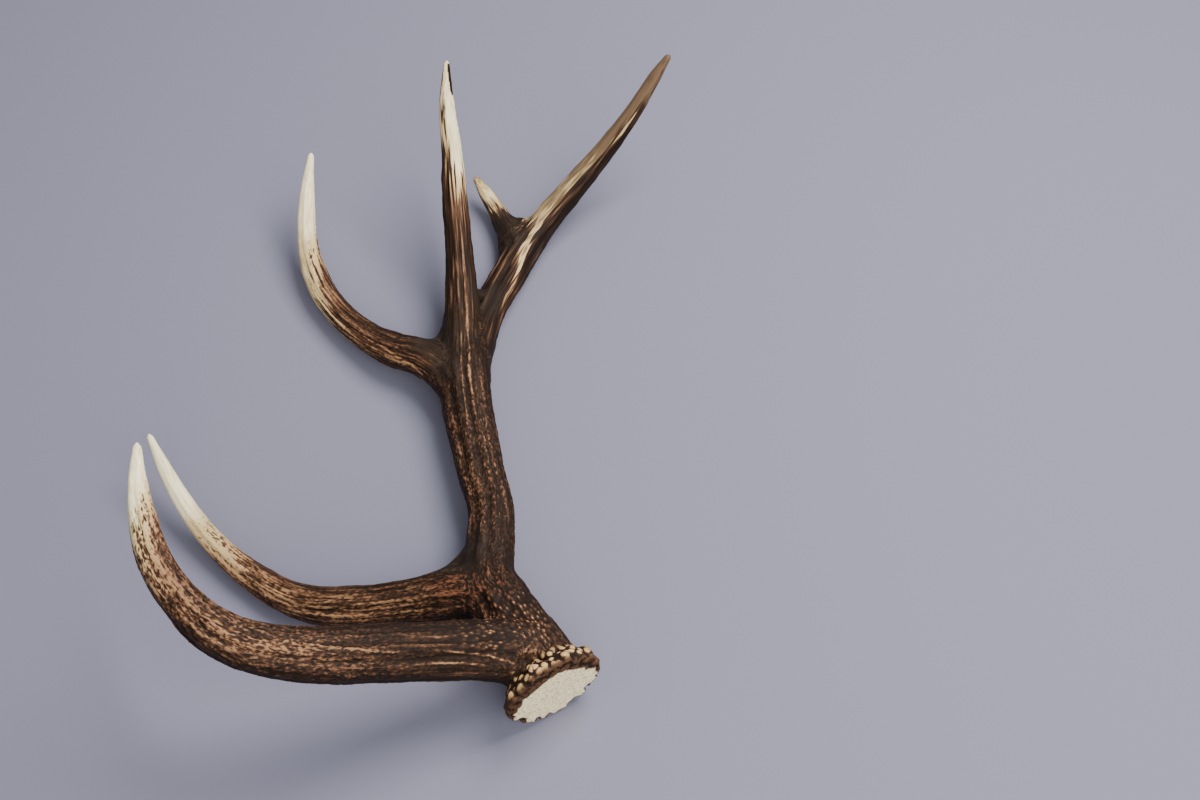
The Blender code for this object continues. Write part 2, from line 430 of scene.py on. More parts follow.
COLOURING = ("beads", "ridges", "dots", "streaks", "swells", "pearls", "knobs", "tones", "pits",
             "grain")


def laid_out(names: tuple[str, ...], graph: Graph, straight: Sock, position: Sock) -> dict[str, Sock]:
    """Add patterns to a graph, each at the kind of place that it reads.

    Args:
        names: The patterns' names.
        graph: The shader's or the field's graph.
        straight: The place along and across the branch, in mm.
        position: The place in space, in mm.

    Returns:
        The patterns by name.
    """
    return {name: PATTERNS[name].add(graph, straight if PATTERNS[name].straight else position)
            for name in names}


# ---------------------------------------------------------------- branches
@dataclass(frozen=True)
class Shade:
    """How the skin looks at one place along a branch."""

    at: float                  # share of the branch's length; the end ones hold beyond it
    light: float
    ivory: float = 0.0
    along: float = 0.3
    lean: float = 0.0          # how much lighter the right-hand side is than the middle: partly the horn's own tone, partly painted shade on the side turned from the light
    bare_lean: float = 0.0     # how much farther the ivory has come there
    edges: float = 0.1         # how much darker both sides are than the middle: mostly painted shade where they turn from the light, partly the horn's own darker sides
    stain: float = 0.1         # how brown the bare ivory is


@dataclass(frozen=True)
class Rib:
    """A long bright ridge, or a dark groove, along the upper side of a branch."""

    knots: tuple[tuple[float, float], ...]   # (share of the length, place from -1 left to 1 right)
    width: float = 1.3
    tone: float = 1.0          # below 0 in a groove
    light: float = 0.0
    ivory: float = 0.0

    FLANK = (0.35, 1.5)        # where the ridge's flank begins and ends, in widths
    FADE = 0.2                 # share of its length over which each end fades

    def strength(self, share: Numbers, lateral: Numbers, radius: Numbers) -> Numbers:
        """Return 1 on the ridge and 0 beside it.

        Args:
            share: Places' share of the branch's length.
            lateral: Their place across it, from -1 to 1.
            radius: The branch's radius there, in mm.

        Returns:
            The ridge's strength at the places.
        """
        knots = sorted(self.knots)
        shares = [knot[0] for knot in knots]
        middle = np.interp(share, shares, [knot[1] for knot in knots])
        aside = np.abs(lateral - middle) * radius
        top, foot = self.FLANK
        body = 1.0 - smoothstep(top * self.width, foot * self.width, aside)
        fade = self.FADE * (shares[-1] - shares[0])
        ends = (smoothstep(shares[0], shares[0] + fade, share)
                * (1.0 - smoothstep(shares[-1] - fade, shares[-1], share)))
        return body * ends


@dataclass(frozen=True)
class Path:
    """A branch's centreline as closely spaced points with a frame that doesn't twist."""

    points: Numbers
    radii: Numbers
    arc: Numbers
    tangents: Numbers
    sides: Numbers
    ups: Numbers

    SPACING = 6.0              # mm that a place may lie ahead of its nearest point
    UPPER = (0.0, -0.53, 0.848)   # the way that the upper side faces
    BRIM = 1.1                 # how far across a place may count, in radii

    @classmethod
    def through(cls, stations: tuple[Station, ...], steps: int) -> "Path":
        """Return the smooth path through stations in mm.

        Args:
            stations: The (x, y, z, radius) stations.
            steps: Points from one station to the next.

        Returns:
            The path, in mm.
        """
        knots = [Vector(station[:3]) for station in stations]
        sizes = [station[3] for station in stations]
        ahead, behind = cls.handles(knots)
        points, radii = [], []
        for index in range(len(knots) - 1):
            last = index == len(knots) - 2
            run = geometry.interpolate_bezier(
                knots[index], ahead[index], behind[index + 1], knots[index + 1], steps + 1)
            points += run if last else run[:-1]
            before = sizes[max(index - 1, 0)]
            after = sizes[min(index + 2, len(sizes) - 1)]
            for step in range(steps + 1 if last else steps):
                radii.append(cls.cardinal(before, sizes[index], sizes[index + 1], after, step / steps))
        places = np.array(points)
        tangents = np.gradient(places, axis=0)
        tangents /= np.linalg.norm(tangents, axis=1, keepdims=True)
        sides, ups = cls.frames(tangents)
        arc = np.concatenate(([0.0], np.cumsum(np.linalg.norm(np.diff(places, axis=0), axis=1))))
        return cls(places, np.array(radii), arc, tangents, sides, ups)

    @staticmethod
    def handles(knots: list[Vector]) -> tuple[list[Vector], list[Vector]]:
        """Return each knot's handles, as an even smooth curve has them.

        Args:
            knots: The curve's knots.

        Returns:
            The handles ahead of the knots, and those behind them.
        """
        reach = 2.5614             # how many times its handle's length a straight run has
        ahead, behind = [], []
        for index, knot in enumerate(knots):
            before = knots[index - 1] if index else 2.0 * knot - knots[1]
            after = knots[index + 1] if index < len(knots) - 1 else 2.0 * knot - knots[-2]
            back, forth = knot - before, after - knot
            lean = forth.normalized() + back.normalized()
            size = max(lean.length * reach, 1e-6)
            ahead.append(knot + lean * (forth.length / size))
            behind.append(knot - lean * (back.length / size))
        return ahead, behind

    @staticmethod
    def cardinal(before: float, low: float, high: float, after: float, share: float) -> float:
        """Return a smooth radius between two stations.

        Args:
            before: The radius at the station before them.
            low: The radius at the first.
            high: The radius at the second.
            after: The radius at the station after them.
            share: How far it lies from the first to the second.

        Returns:
            The radius there.
        """
        rise_low, rise_high = 0.5 * (high - before), 0.5 * (after - low)
        square, cube = share * share, share ** 3
        return ((2 * cube - 3 * square + 1) * low + (cube - 2 * square + share) * rise_low
                + (3 * square - 2 * cube) * high + (cube - square) * rise_high)

    @staticmethod
    def frames(tangents: Numbers) -> tuple[Numbers, Numbers]:
        """Carry two directions across the path along it without twist.

        Args:
            tangents: The path's direction at each point.

        Returns:
            The two directions at each point.
        """
        side = np.cross(tangents[0], (0.0, 0.0, 1.0))
        sides = []
        for tangent in tangents:
            side = side - tangent * (side @ tangent)
            side = side / np.linalg.norm(side)
            sides.append(side)
        sides = np.array(sides)
        return sides, np.cross(tangents, sides)

    def ring(self, index: int) -> Matrix:
        """Return where the tube's ring at one point goes.

        Args:
            index: The point's number.

        Returns:
            The matrix that puts a unit ring round the path there, in metres.
        """
        axes = np.stack((self.sides[index], self.ups[index], self.tangents[index]), axis=1)
        scale = self.radii[index] * MM
        place = Matrix.Translation(Vector(self.points[index]) * MM)
        return place @ Matrix(axes.tolist()).to_4x4() @ Matrix.Scale(scale, 4)

    def locate(self, places: Numbers) -> tuple[Numbers, Numbers, Numbers, Numbers]:
        """Return where places lie along the path.

        Args:
            places: Points in mm.

        Returns:
            Their distance along the path, their two distances across it, how far outside the
            path's radius they are, and where they lie on the upper side: across it from -1
            on the left to 1 on the right, and from -1 underneath to 1 on top.
        """
        squares = (self.points ** 2).sum(1)[None, :] - 2.0 * places @ self.points.T
        nearest = squares.argmin(1)
        tangents, radii = self.tangents[nearest], self.radii[nearest]
        offset = places - self.points[nearest]
        ahead = (offset * tangents).sum(1)
        across = np.stack(((offset * self.sides[nearest]).sum(1),
                           (offset * self.ups[nearest]).sum(1)), axis=1)
        beyond = np.maximum(np.abs(ahead) - self.SPACING, 0.0)
        excess = np.hypot(np.linalg.norm(across, axis=1), beyond) - radii
        right = np.cross(tangents, self.UPPER)
        right /= np.linalg.norm(right, axis=1, keepdims=True)
        facing = np.stack(((offset * right).sum(1),
                           (offset * np.cross(right, tangents)).sum(1)), axis=1)
        facing = np.clip(facing / radii[:, None], -self.BRIM, self.BRIM)
        return self.arc[nearest] + ahead, across, excess, facing


@dataclass(frozen=True)
class Branch:
    """One branch of the antler: the tube, and how its skin changes along it."""

    stations: tuple[Station, ...]
    shades: tuple[Shade, ...] = ()
    ribs: tuple[Rib, ...] = ()
    root: float = 0.0          # mm along which the skin of what carries it still covers it

    STEPS = 8
    RING_POINTS = 66
    RIDGES = ((7, 0.045, 0.4), (11, 0.030, 1.9), (3, 0.035, 2.6))

    def path(self) -> Path:
        """Return the branch's centreline."""
        return Path.through(self.stations, self.STEPS)

    def table(self, name: str, share: Numbers) -> Numbers:
        """Return one of the shades' values at shares of the branch's length."""
        return np.interp(share, [item.at for item in self.shades],
                         [getattr(item, name) for item in self.shades])

    def tube(self) -> bpy.types.Mesh:
        """Make the branch's tube.

        Returns:
            The closed ringed tube, in metres.
        """
        bm = bmesh.new()
        path = self.path()
        ring = bmesh.ops.create_circle(bm, cap_ends=False, segments=self.RING_POINTS, radius=1.0)
        verts = ring["verts"]
        for vert in verts:
            angle = math.atan2(vert.co.y, vert.co.x)
            vert.co *= 1.0 + sum(height * math.cos(count * angle + phase)
                                 for count, height, phase in self.RIDGES)
        place = path.ring(0)
        bmesh.ops.transform(bm, matrix=place, verts=verts)
        edges = once(edge for vert in verts for edge in vert.link_edges)
        bmesh.ops.holes_fill(bm, edges=edges, sides=0)
        for index in range(1, len(path.points)):
            grown = bmesh.ops.extrude_edge_only(bm, edges=edges)["geom"]
            verts = {item for item in grown if isinstance(item, bmesh.types.BMVert)}
            edges = [item for item in grown if isinstance(item, bmesh.types.BMEdge)
                     and verts.issuperset(item.verts)]
            onward = path.ring(index)
            bmesh.ops.transform(bm, matrix=onward @ place.inverted(), verts=list(verts))
            place = onward
        bmesh.ops.holes_fill(bm, edges=edges, sides=0)
        return finished(bm, "tube")


BEAM_STATIONS = (
    (132, -299, 42.5, 30), (118, -268, 42.5, 28.5), (108, -252, 42, 28), (95, -233, 42, 26),
    (82, -212, 41, 25), (70.7, -186, 39, 22), (71, -154, 37, 20.3), (69.5, -120, 35, 19.3),
    (60.5, -87, 33, 20), (51.6, -48, 32, 21.1), (44.4, -15, 32, 22), (39.5, 20, 33, 22.5),
    (42, 64, 33, 17),
)
BROW_STATIONS = (
    (109, -258, 47, 27), (77, -260, 62, 24.5), (38, -269, 81, 22.5), (-5, -280, 104, 22),
    (-47, -290, 125, 21), (-81, -293, 141, 19.2), (-114, -287, 156, 17.2),
    (-142.7, -266.6, 169, 14), (-164, -239.4, 179, 12.6), (-176.5, -208, 187, 10.3),
    (-183.7, -178, 193, 7), (-187, -153, 197, 3.5), (-187.5, -149, 198, 1.5),
)
BEZ_STATIONS = (
    (76, -200, 41, 24), (42, -200.5, 36, 22.5), (0, -203.5, 29, 17.5), (-46, -204.5, 21.5, 16.8),
    (-90, -197, 15.7, 14.5), (-135, -171, 13.2, 12), (-170, -142, 17.5, 9.7),
    (-196, -112, 29, 8), (-214, -85, 42, 6.2), (-228, -60, 55, 3), (-229.6, -57, 56.5, 1.2),
)
TREZ_STATIONS = (
    (40, 3, 34, 20), (8, 36, 30, 18.5), (-27, 52, 25, 15.5), (-56, 72, 20.5, 13.5),
    (-86.8, 103, 18.5, 12.5), (-107.8, 137, 22, 11.8), (-118.6, 173.5, 33, 9.2), (-120.4, 211, 49, 7.3),
    (-118, 251, 67, 3.2), (-117.8, 254, 68.2, 1.5),
)
FRONT_STATIONS = (
    (42, -8, 35, 17), (38, 45, 37, 17.5), (35, 96, 44, 15), (31, 143, 59, 12.5),
    (26.8, 185, 81, 11.8), (23.6, 225, 106, 9.4), (19.6, 258, 131, 7.1), (19.6, 288.5, 153.5, 3.2),
    (19.6, 291, 155.5, 1.4),
)
REAR_STATIONS = (
    (46, -6, 32, 17), (50, 50, 29, 16), (60, 101, 23, 15.5), (75, 140, 19, 16.5),
    (90, 174, 18.5, 16.5), (110, 202, 27, 13.8), (136.4, 228, 44, 12.4), (167.5, 256, 68, 10.1),
    (195.4, 281, 96, 8.1), (216.5, 303, 122, 6), (228.6, 313, 138, 3.2), (230.2, 313.8, 140, 1.4),
)
BACK_STATIONS = (
    (87, 175, 20, 16), (70, 206, 16, 12), (59, 227, 18, 9), (50, 241, 22, 7),
    (40, 255, 28, 3.5), (38.5, 257, 29, 1.5),
)

# Stations of the short tubes that round the corners at the forks.
CORNERS = (
    ((24, -190, 36, 8), (44, -174, 38, 6), (60, -156, 38, 8)),
    ((-4, 46, 30, 8), (17, 57, 34, 6), (27, 82, 38, 8)),
    ((38, 104, 42, 8), (49.5, 108, 34, 6), (61, 112, 25, 8)),
    ((73, 206, 17, 7), (87, 205, 19, 7), (103, 203, 25, 7)),
    ((67, 200, 16, 7), (71, 173, 17, 6.5), (74, 150, 18, 7)),
)
TUBES = (BEAM_STATIONS, BROW_STATIONS, BEZ_STATIONS, TREZ_STATIONS, FRONT_STATIONS,
         REAR_STATIONS, BACK_STATIONS)
# The solids' own shift that puts the middle of the antler over the origin, in mm.
REST_SHIFT = (-0.24, -0.74, 0.2)


@dataclass(frozen=True)
class Fork:
    """Where a tine's piece parts from what carries it."""

    node: str
    stations: tuple[Station, ...]
    place: tuple[float, float, float]
    reach: float

    def plane(self) -> tuple[Vector, Vector]:
        """Return where the tine is parted.

        Returns:
            A point of the parting plane in metres, and its normal along the tine.
        """
        point = Vector(self.place)
        knots = [Vector(station[:3]) for station in self.stations]
        near = min(range(1, len(knots) - 1), key=lambda i: (knots[i] - point).length)
        return point * MM, (knots[near + 1] - knots[near - 1]).normalized()

    def part(self, bm: bmesh.types.BMesh) -> None:
        """Cut the skin along the plane, and close both sides of the cut.

        Args:
            bm: The skin.
        """
        point, normal = self.plane()
        reach = self.reach * MM
        faces = [face for face in bm.faces if (face.calc_center_median() - point).length < reach]
        edges = once(edge for face in faces for edge in face.edges)
        verts = once(vert for face in faces for vert in face.verts)
        cut = bmesh.ops.bisect_plane(
            bm, geom=[*verts, *edges, *faces], plane_co=point, plane_no=normal, dist=ON_PLANE)
        seam = [item for item in cut["geom_cut"] if isinstance(item, bmesh.types.BMEdge)]
        bmesh.ops.split_edges(bm, edges=seam)
        rim = [edge for edge in bm.edges if edge.is_boundary]
        bmesh.ops.holes_fill(bm, edges=rim, sides=0)


FORKS = (
    Fork("brow_tine", BROW_STATIONS, (38, -270, 81), 42),
    Fork("bez_tine", BEZ_STATIONS, (15, -201, 31.5), 34),
    Fork("trez_tine", TREZ_STATIONS, (-11, 44, 29), 30),
    Fork("crown_front_tine", FRONT_STATIONS, (33, 122, 52), 25),
    Fork("crown_rear_tine", REAR_STATIONS, (71, 123, 21), 30),
    Fork("crown_back_point", BACK_STATIONS, (68, 210, 16), 20),
)


# ---------------------------------------------------------------- burr
@dataclass(frozen=True)
class Burr:
    """The ring of pearls at the foot, and the flat face where the antler is sawn off."""

    face: tuple[float, float, float] = (128.1, -287.6, 42.6)
    axis: tuple[float, float, float] = (-0.51, 0.86, -0.05)
    ring_radius: float = 33
    ring_thickness: float = 7.2
    ring_set_back: float = 7
    ring_sides: int = 24
    ring_steps: int = 96
    # pearls, ring radius, pearl radius, distance behind the sawn face
    rows: tuple[tuple[int, float, float, float], ...] = (
        (22, 36, 6.2, 5.8), (19, 32, 4.8, 13), (26, 39.5, 2.6, 3.0), (31, 31.5, 2.6, 18))
    pearl_stretch: tuple[float, float, float] = (1.0, 0.92, 1.25)
    turn_spread: float = 0.3
    shift_spread: float = 1.3
    size_spread: float = 0.22
    # Turns of the waves that make the pearls uneven, from one pearl and one row to the next.
    place_wave: Span = (5.1, 2.0)
    size_wave: Span = (3.7, 1.0)
    saw_reach: float = 60
    rim: Span = (0.9, 9.0)     # width of the sawn face's brown rim, at its foot and its top

    def place(self) -> Matrix:
        """Return the matrix that puts the burr's own Z along the beam, in metres."""
        turn = Vector(self.axis).to_track_quat("Z", "Y").to_matrix().to_4x4()
        return Matrix.Translation(Vector(self.face) * MM) @ turn

    def shells(self) -> list[bpy.types.Mesh]:
        """Make the ring and its pearls.

        Returns:
            The closed shells, in metres.
        """
        place = self.place()
        ball = self.ball()
        by_pearl, by_row = self.place_wave
        size_by_pearl, size_by_row = self.size_wave
        shells = [self.ring(place)]
        for row, (count, ring_radius, pearl_radius, set_back) in enumerate(self.rows):
            for index in range(count):
                wave = math.sin(by_pearl * index + by_row * row)
                swell = math.sin(size_by_pearl * index + size_by_row * row)
                size = pearl_radius * (1.0 + self.size_spread * swell)
                angle = math.tau * (index + self.turn_spread * wave) / count
                shift = Vector((ring_radius, 0.0, set_back + self.shift_spread * wave)) * MM
                scale = Vector(self.pearl_stretch) * size * MM
                pearl = ball.copy()
                pearl.transform(place @ Matrix.Rotation(angle, 4, "Z")
                                @ Matrix.Translation(shift) @ Matrix.Diagonal((*scale, 1.0)))
                shells.append(pearl)
        return shells

    @staticmethod
    def ball() -> bpy.types.Mesh:
        """Make the ball that each pearl is a copy of.

        Returns:
            The ball, 1 m in radius.
        """
        bm = bmesh.new()
        bmesh.ops.create_icosphere(bm, subdivisions=3, radius=1.0)
        return finished(bm, "ball")

    def ring(self, place: Matrix) -> bpy.types.Mesh:
        """Make the ring that carries the pearls.

        Args:
            place: The matrix that puts the burr's own Z along the beam.

        Returns:
            The closed ring, in metres.
        """
        bm = bmesh.new()
        circle = bmesh.ops.create_circle(
            bm, cap_ends=False, segments=self.ring_sides, radius=self.ring_thickness * MM,
            matrix=Matrix.Translation(Vector((self.ring_radius, 0, self.ring_set_back)) * MM)
            @ Matrix.Rotation(math.radians(90), 4, "X"))
        edges = once(edge for vert in circle["verts"] for edge in vert.link_edges)
        bmesh.ops.spin(
            bm, geom=[*circle["verts"], *edges], cent=(0, 0, 0), axis=(0, 0, 1),
            angle=math.tau, steps=self.ring_steps, use_merge=True)
        bmesh.ops.transform(bm, matrix=place, verts=bm.verts)
        return finished(bm, "ring")

    def saw(self, bm: bmesh.types.BMesh) -> None:
        """Cut every shell off at the sawn face.

        Args:
            bm: The shells.
        """
        place = self.place()
        near = [vert for vert in bm.verts
                if (vert.co - place.translation).length < self.saw_reach * MM]
        edges = once(edge for vert in near for edge in vert.link_edges)
        faces = once(face for vert in near for face in vert.link_faces)
        bmesh.ops.bisect_plane(
            bm, geom=[*near, *edges, *faces], plane_co=place.translation,
            plane_no=-place.col[2].to_3d(), dist=ON_PLANE, clear_outer=True)
        rim = [edge for edge in bm.edges if edge.is_boundary]
        bmesh.ops.holes_fill(bm, edges=rim, sides=0)

    def depth(self, places: Numbers) -> Numbers:
        """Return how far places in mm lie behind the sawn face."""
        axis = np.array(Vector(self.axis).normalized())
        return (places - np.array(self.face)) @ axis

    def height(self, places: Numbers) -> Numbers:
        """Return how high places in mm lie on the burr, from -1 at its foot to 1 at its top."""
        rise = (places[:, 2] - self.face[2]) / (self.ring_radius + self.ring_thickness)
        return np.clip(rise, -1.0, 1.0)


# ---------------------------------------------------------------- how the skin changes
# In these tables the edges and the leans are partly painted shade: sides turned from the light are
# darker.
STEM = Branch(
    BEAM_STATIONS[:-1] + FRONT_STATIONS[1:],
    (Shade(0.08, 0.36, along=0.0), Shade(0.15, 0.24, along=0.1),
     Shade(0.20, 0.10, along=0.2), Shade(0.25, 0.20, along=0.25), Shade(0.32, 0.23, along=0.15),
     Shade(0.40, 0.33, along=0.15), Shade(0.48, 0.25, along=0.4), Shade(0.56, 0.22, along=0.8),
     Shade(0.63, 0.26, along=0.9), Shade(0.68, 0.28, 0.0, 1.0, 0.04, 0.0, 0.2),
     Shade(0.74, 0.36, 0.02, 1.0, 0.10, 0.1, 0.35), Shade(0.79, 0.47, 0.17, 1.0, 0.2, 0.35, 0.35),
     Shade(0.84, 0.66, 0.60, 1.0, 0.3, 0.5, 0.25),
     Shade(0.89, 0.80, 0.88, 1.0, 0.25, 0.4, 0.1, 0.2),
     Shade(0.94, 0.84, 0.92, 0.8, 0.2, 0.35, 0.04, 0.25),
     Shade(1.0, 0.85, 0.95, 0.6, 0.15, 0.25, 0.02, 0.3)),
    (Rib(((0.797, 0.45), (0.753, 0.4), (0.659, 0.31), (0.567, 0.36), (0.518, 0.32),
          (0.471, 0.37), (0.42, 0.34)), 1.2, 1.0),
     Rib(((0.605, 0.04), (0.555, -0.04), (0.494, 0.04), (0.427, 0.0), (0.4, 0.01)), 0.9, 0.7),
     Rib(((0.566, 0.75), (0.523, 0.67), (0.481, 0.74), (0.404, 0.68), (0.342, 0.77),
          (0.288, 0.76), (0.241, 0.75)), 1.7, 0.5),
     Rib(((0.53, 0.52), (0.44, 0.55), (0.36, 0.5), (0.3, 0.44)), 1.0, 0.45),
     Rib(((0.36, -0.72), (0.331, -0.68), (0.306, -0.77), (0.272, -0.9), (0.24, -0.9)), 1.8, 0.55),
     Rib(((0.37, -0.25), (0.329, -0.31), (0.306, -0.38), (0.273, -0.54), (0.25, -0.57)), 1.5, 0.5),
     Rib(((0.456, -0.51), (0.423, -0.55), (0.375, -0.61)), 0.9, 0.6),
     Rib(((1.0, 0.65), (0.98, 0.75), (0.945, 1.0)), 1.2, -0.7, -0.9, -1.2)))
BROW = Branch(
    BROW_STATIONS,
    (Shade(0.0, 0.34, along=0.0), Shade(0.10, 0.26, along=0.4, edges=0.15),
     Shade(0.2, 0.20, along=0.6, edges=0.15), Shade(0.28, 0.27, 0.0, 0.45, 0.04, 0.0, 0.2),
     Shade(0.36, 0.36, 0.0, 0.25, 0.10, 0.0, 0.36), Shade(0.46, 0.47, 0.0, 0.2, 0.26, 0.0, 0.42),
     Shade(0.56, 0.51, 0.02, 0.2, 0.30, 0.0, 0.46), Shade(0.66, 0.51, 0.08, 0.25, 0.14, -0.1, 0.28),
     Shade(0.74, 0.56, 0.20, 0.3, 0.02, -0.2, 0.2),
     Shade(0.80, 0.66, 0.40, 0.4, -0.02, -0.28, 0.15),
     Shade(0.86, 0.80, 0.68, 0.4, -0.08, -0.35, 0.1), Shade(0.91, 0.94, 0.96, 0.4, 0.0, -0.2, 0.02),
     Shade(0.96, 1.0, 1.0, 0.3, 0.0, 0.0, 0.0)),
    (Rib(((0.539, 0.71), (0.485, 0.57), (0.429, 0.48), (0.364, 0.31), (0.311, 0.2), (0.24, 0.06)),
         1.0, 0.7),
     Rib(((0.24, -0.19), (0.177, -0.26), (0.129, -0.35), (0.09, -0.44)), 1.0, 1.0),
     Rib(((0.24, 0.26), (0.193, 0.17), (0.152, 0.04), (0.108, -0.05), (0.067, -0.16),
          (0.025, -0.33)), 1.0, 0.9),
     Rib(((0.3, 0.74), (0.24, 0.65), (0.17, 0.52)), 0.9, 0.7),
     Rib(((0.38, -0.46), (0.289, -0.61), (0.21, -0.58), (0.1, -0.65)), 1.2, 0.4)), 40.0)
BEZ = Branch(
    BEZ_STATIONS,
    (Shade(0.0, 0.22, along=0.1), Shade(0.08, 0.34, along=0.3),
     Shade(0.15, 0.46, along=0.45, edges=0.2),
     Shade(0.25, 0.54, 0.0, 0.5, 0.04, 0.0, 0.3), Shade(0.35, 0.59, 0.02, 0.55, 0.04, 0.0, 0.34),
     Shade(0.45, 0.63, 0.05, 0.6, 0.03, 0.0, 0.34),
     Shade(0.55, 0.68, 0.14, 0.6, 0.08, 0.06, 0.3, 0.6),
     Shade(0.62, 0.78, 0.25, 0.6, 0.14, 0.14, 0.2, 0.65),
     Shade(0.68, 0.78, 0.38, 0.5, 0.1, 0.16, 0.14, 0.65),
     Shade(0.75, 0.86, 0.68, 0.4, 0.0, 0.16, 0.06, 0.35), Shade(0.82, 1.0, 1.0, 0.3, edges=0.0)),
    (Rib(((0.453, -0.2), (0.405, -0.3), (0.34, -0.32), (0.262, -0.34), (0.195, -0.36),
          (0.1, -0.4)), 1.3, 0.55),), 34.0)
TREZ = Branch(
    TREZ_STATIONS,
    (Shade(0.0, 0.40, along=0.8), Shade(0.15, 0.34, along=0.8), Shade(0.22, 0.37, along=0.6),
     Shade(0.30, 0.46, 0.0, 0.7, -0.1, -0.1, 0.15),
     Shade(0.38, 0.49, 0.05, 0.75, -0.14, -0.3, 0.12),
     Shade(0.46, 0.56, 0.16, 0.8, -0.16, -0.5, 0.1),
     Shade(0.54, 0.66, 0.34, 0.8, -0.16, -0.6, 0.08, 0.4),
     Shade(0.62, 0.76, 0.58, 0.8, -0.14, -0.5, 0.06, 0.4),
     Shade(0.69, 0.84, 0.8, 0.6, -0.1, -0.4, 0.05, 0.4),
     Shade(0.76, 0.94, 0.97, 0.3, 0.0, -0.1, 0.0, 0.25), Shade(0.85, 1.0, 1.0, 0.3, edges=0.0)),
    (Rib(((0.358, -0.14), (0.271, -0.08), (0.21, -0.34), (0.169, -0.49), (0.129, -0.68),
          (0.07, -0.93)), 0.9, 1.0),
     Rib(((0.34, -0.38), (0.232, -0.42), (0.192, -0.55), (0.143, -0.75), (0.08, -1.0)), 2.2, 0.7)),
    36.0)
# The rear tine's negative leans darken its right-hand side and keep the ivory off it: painted shade on
# the side turned from the light, beside the horn's own pale band.
REAR = Branch(
    REAR_STATIONS,
    (Shade(0.0, 0.20, along=1.0), Shade(0.18, 0.1, along=1.0), Shade(0.32, 0.24, along=1.0),
     Shade(0.40, 0.30, 0.06, 1.0, -0.1, -0.1, 0.3, 0.6),
     Shade(0.46, 0.32, 0.16, 1.0, -0.35, -0.4, 0.2, 0.6),
     Shade(0.55, 0.36, 0.40, 1.0, -0.65, -0.8, 0.1, 0.62),
     Shade(0.68, 0.44, 0.58, 1.0, -0.75, -0.95, 0.06, 0.72),
     Shade(0.78, 0.48, 0.66, 1.0, -0.6, -0.7, 0.04, 0.92),
     Shade(0.88, 0.60, 0.86, 1.0, -0.2, -0.2, 0.02, 1.05),
     Shade(1.0, 0.64, 0.92, 1.0, -0.05, 0.0, 0.0, 1.15)),
    (Rib(((0.2, 0.78), (0.26, 0.69), (0.312, 0.58), (0.356, 0.44), (0.397, 0.27), (0.44, 0.12),
          (0.48, 0.05)), 2.2, 0.7, 0.15, 0.22),
     Rib(((0.35, -0.05), (0.403, -0.13), (0.45, -0.25)), 1.6, 0.8),
     Rib(((0.3, 0.5), (0.36, 0.35), (0.4, 0.18), (0.44, 0.02), (0.5, -0.1), (0.56, -0.3),
          (0.62, -0.4), (0.7, -0.3), (0.8, -0.25)), 4.0, 0.4, 0.25, 0.48)), 60.0)
BACK = Branch(
    BACK_STATIONS,
    (Shade(0.0, 0.18, along=0.9), Shade(0.34, 0.22, along=0.9),
     Shade(0.44, 0.45, 0.42, 1.0, 0.1, 0.2, 0.1, 0.6),
     Shade(0.54, 0.55, 0.66, 1.0, 0.1, 0.2, 0.1, 0.5),
     Shade(0.72, 0.62, 0.86, 1.0, 0.1, 0.1, 0.1, 0.4),
     Shade(1.0, 0.7, 0.92, 1.0, 0.0, 0.0, 0.1, 0.7)),
    (), 26.0)
COURSES = (STEM, BROW, BEZ, TREZ, REAR, BACK)


@dataclass(frozen=True)
class Patch:
    """A round patch of the skin with a look of its own, in mm."""

    place: tuple[float, float, float]
    reach: float

    CORE = 0.35                # share of the reach within which the patch is full

    def share(self, places: Numbers) -> Numbers:
        """Return 1 at the patch's middle and 0 past its reach."""
        away = np.linalg.norm(places - np.array(self.place), axis=1)
        return 1.0 - smoothstep(self.CORE * self.reach, self.reach, away)


WEBS = (
    Patch((48, -170, 48), 32), Patch((14, 50, 48), 32), Patch((24, 20, 50), 22),
    Patch((56, 100, 42), 26), Patch((70, 200, 32), 25), Patch((80, 178, 34), 20),
)
RED_PATCHES = (Patch((70, -206, 60), 32), Patch((42, -196, 56), 26))
DOTTED_PATCHES = (Patch((96, -236, 66), 46), Patch((72, -250, 84), 40))


